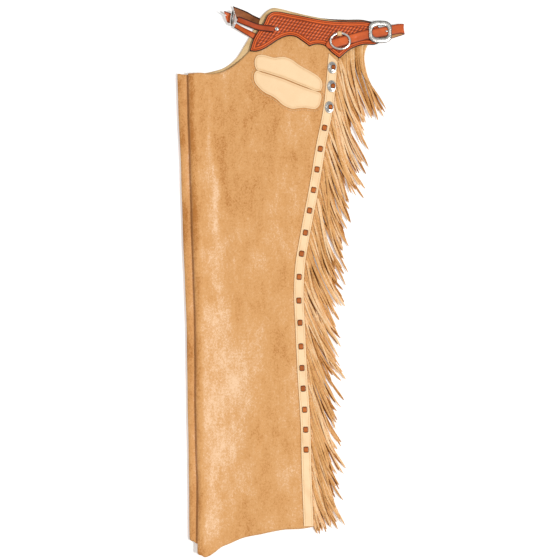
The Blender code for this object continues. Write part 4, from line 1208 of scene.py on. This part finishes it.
def build_all(finishes):
    """Every piece."""
    wall = (finishes["suede"], finishes["suede_grain"], finishes["suede_edge"])
    near = build_leg("leg_near_suede", "leg_near", NEAR_FOLD, NEAR_TOP, near_front_z, near_back_z, 0, 0, wall)
    far = build_leg("leg_far_suede", "leg_far", FAR_FOLD, FAR_TOP, far_front_z, far_back_z, FAR_HEM_SHIFT,
                    FAR_EDGE_SHIFT, wall)
    far_seam = FAR_FRONT_Z + HALVES / 2
    near_seam = far_seam + HALVES + LEATHER + LEG_GAP
    step = FAR_HEADER_STEP

    def far_header(y):
        return far_seam + step["rise"] * ease((y - step["start_y"]) / step["length"])

    def near_header(y):
        return near_seam - NEAR_HEADER_SINK * panel_drop(y)

    fringe = finishes["suede_fringe"]
    on_near = [
        build_fringe("fringe_near_strands", "fringe_near", 1.0, 0.0, near_header, NEAR_LANE_Z, FRINGE_END_Y,
                     11, (-0.7, 1.3), fringe),
        build_plate("yoke_near_tooled", "yoke_near", YOKE, 0, YOKE_LEATHER, yoke_relief, 0.8,
                    finishes["tooled_leather"]),
        build_plate("patch_upper_leather", "patch_upper", PATCH_UPPER, PATCH_TURN, TRIM_LEATHER, patch_relief,
                    1.4, finishes["pale_leather"]),
        build_plate("patch_lower_leather", "patch_lower", PATCH_LOWER, PATCH_TURN, TRIM_LEATHER, patch_relief,
                    1.4, finishes["pale_leather"]),
        build_side_strap(finishes["pale_leather"]),
    ]
    on_near += build_trim(finishes)
    shifted = {key: np.array(YOKE[key]) + shift for key, shift in zip("xy", YOKE_FAR_SHIFT)}
    far_yoke = {**YOKE, **shifted}
    build_plate("yoke_far_plain", "yoke_far", far_yoke, 0, YOKE_LEATHER, plain_relief, 2.0,
                finishes["strap_inside_shaded"], lambda y: 0 * y)
    # the lower fringe's dark tones are painted shade beneath the upper fringe
    on_far = [build_fringe("fringe_far_strands", "fringe_far", -1.0, 2.5, far_header, FAR_LANE_Z,
                           FRINGE_FAR_END_Y, 29, (-1.9, -0.3), fringe)]
    strap = finishes["strap_leather"]
    inner_shaded = finishes["strap_inside_shaded"]
    for name, table, thickness, fine, tip, holes, finish in (
        ("back_strap", BACK_STRAP, STRAP_LEATHER, 8, 9.2, BACK_STRAP_HOLES, strap),
        ("front_billet", FRONT_BILLET, BILLET_LEATHER, 12, 0, (), finishes["strap_shade"]),
        ("front_chape", FRONT_CHAPE, BILLET_LEATHER, 12, 0, (), strap),
        ("front_strap", FRONT_STRAP, BELT_LEATHER, 12, 0, (), inner_shaded),
        ("front_strap_tip", FRONT_STRAP_TIP, BELT_LEATHER, 12, 0, (), strap),
    ):
        build_strap(f"{name}_leather", name, table, thickness, fine, tip, holes, finish)
    build_strap("ring_tab_leather", "ring_tab", RING_TAB, TAB_LEATHER, 6, 0, (), finishes["pale_leather"])
    silver = finishes["silver"]
    for name, loop, power, worked, lean in (
        ("hip_ring", RING, 2.0, 0.0, None),
        ("rear_buckle", REAR_BUCKLE, 3.1, 0.12, None),
        ("front_buckle", FRONT_BUCKLE, 2.6, 0.0, FRONT_BUCKLE_LEAN),
    ):
        build_loop(f"{name}_silver", name, loop, power, worked, lean, silver)
    base = float(panel_top(RIVET["centre"][1] - RIVET["radius"])) + 2 * SEAM_GAP + YOKE_LEATHER
    cap = [(0.96, 0), (1, 0.3), (0.97, 0.6), (0.88, 1.0), (0.72, 1.4), (0.5, 1.65), (0.25, 1.8), (0.02, 1.8)]
    size = (2 * RIVET["radius"], 2 * RIVET["radius"])
    build_dome("front_rivet_silver", "front_rivet", RIVET["centre"], base, size, 2.0, 0, cap, silver)
    pin = [(0.97, 0), (1, 0.4), (1, 1.2), (0.93, 1.7), (0.8, 2.0), (0.5, 2.2), (0.02, 2.2)]
    build_dome("rear_buckle_peg", "rear_buckle_tongue", PEG["centre"], PEG["base"], PEG["size"], 3.0, 0,
               pin, silver)
    pin = [(0.97, 0), (1, 0.3), (1, 0.9), (0.95, 1.4), (0.8, 1.7), (0.4, 1.8), (0.02, 1.8)]
    build_dome("front_buckle_prong", "front_buckle_tongue", PRONG["centre"], PRONG["base"], PRONG["size"],
               3.0, PRONG["turn"], pin, silver)
    on_near += build_seams(finishes["thread"])


def inset(outline, distance):
    """A closed outline moved inwards along its normals; it runs clockwise, so inwards is to its right."""
    along = np.roll(outline, -1, axis=0) - np.roll(outline, 1, axis=0)
    along /= np.hypot(*along.T)[:, None]
    return outline + np.stack((along[:, 1], -along[:, 0]), -1) * distance


def build_seams(thread):
    """The rows of stitches: round each patch and down both sides of the strap."""
    made = []
    for name, table in (("patch_upper", PATCH_UPPER), ("patch_lower", PATCH_LOWER)):
        line = inset(outline_points(table, 2.0), STITCH_INSET)
        line = np.concatenate((line, line[:1]))
        heights = panel_top(line[:, 1]) + SEAM_GAP + TRIM_LEATHER - 0.5
        made.append(build_stitches(f"{name}_stitches", line, heights, thread))
    y = np.linspace(SIDE_STRAP_Y["foot"] + 4, SIDE_STRAP_Y["right_top"] - 4, 200)
    for name, across in (("left", SIDE_STRAP_WIDTH - STITCH_INSET), ("right", STITCH_INSET)):
        line = np.stack((curve(OUTSEAM, y) - across, y), -1)
        heights = panel_top(y) + SEAM_GAP + TRIM_LEATHER - 0.5
        made.append(build_stitches(f"side_strap_stitches_{name}", line, heights, thread))
    return made


def set_light_and_floor():
    """A pale floor that glows a little, a dome bright overhead, and a small high key from the right."""
    scene = bpy.context.scene
    paper = bpy.data.materials.new("floor_paper")
    paper.use_nodes = True
    shader = paper.node_tree.nodes["Principled BSDF"]
    shader.inputs["Base Color"].default_value = (0.88, 0.88, 0.88, 1)
    shader.inputs["Roughness"].default_value = 0.9
    shader.inputs["Specular IOR Level"].default_value = 0.0
    shader.inputs["Emission Color"].default_value = (1, 1, 1, 1)
    shader.inputs["Emission Strength"].default_value = FLOOR_GLOW
    mesh = bpy.data.meshes.new("floor")
    side = FLOOR_SIDE
    corners = ((-side, -side), (side, -side), (side, side), (-side, side))
    mesh.from_pydata([(x, y, FLOOR_LOW) for x, y in corners], [], [(0, 1, 2, 3)])
    mesh.materials.append(paper)
    floor = bpy.data.objects.new("floor", mesh)
    scene.collection.objects.link(floor)
    world = bpy.data.worlds.new("studio")
    world.use_nodes = True
    make = Nodes(world.node_tree)
    up = make.add("ShaderNodeSeparateXYZ", "Z", {0: make.add("ShaderNodeTexCoord", "Generated")})
    dome = make.mix(make.span(up, 0.05, 0.75), (0.6, 0.6, 0.6, 1), (1, 0.995, 0.98, 1))
    background = world.node_tree.nodes["Background"]
    world.node_tree.links.new(dome, background.inputs["Color"])
    background.inputs["Strength"].default_value = DOME_STRENGTH
    scene.world = world
    for name, place, size, power in LAMPS:
        lamp = bpy.data.lights.new(name, "AREA")
        lamp.size = size
        lamp.energy = power
        item = bpy.data.objects.new(name, lamp)
        item.location = place
        item.rotation_euler = (-Vector(place)).to_track_quat("-Z", "Y").to_euler()
        scene.collection.objects.link(item)
    scene.view_settings.view_transform = "Standard"
    return floor


def set_camera():
    """The photo's view: straight down, its frame FRAME_WIDTH across at the chaps' height."""
    lens = bpy.data.cameras.new("camera")
    lens.lens = 85
    lens.sensor_width = 36
    camera = bpy.data.objects.new("camera", lens)
    camera.location = (VIEW["x"], VIEW["y"], VIEW["z"] + VIEW["width"] * lens.lens / lens.sensor_width)
    bpy.context.scene.collection.objects.link(camera)
    bpy.context.scene.camera = camera


set_camera()
FLOOR = set_light_and_floor()
build_all(make_finishes())
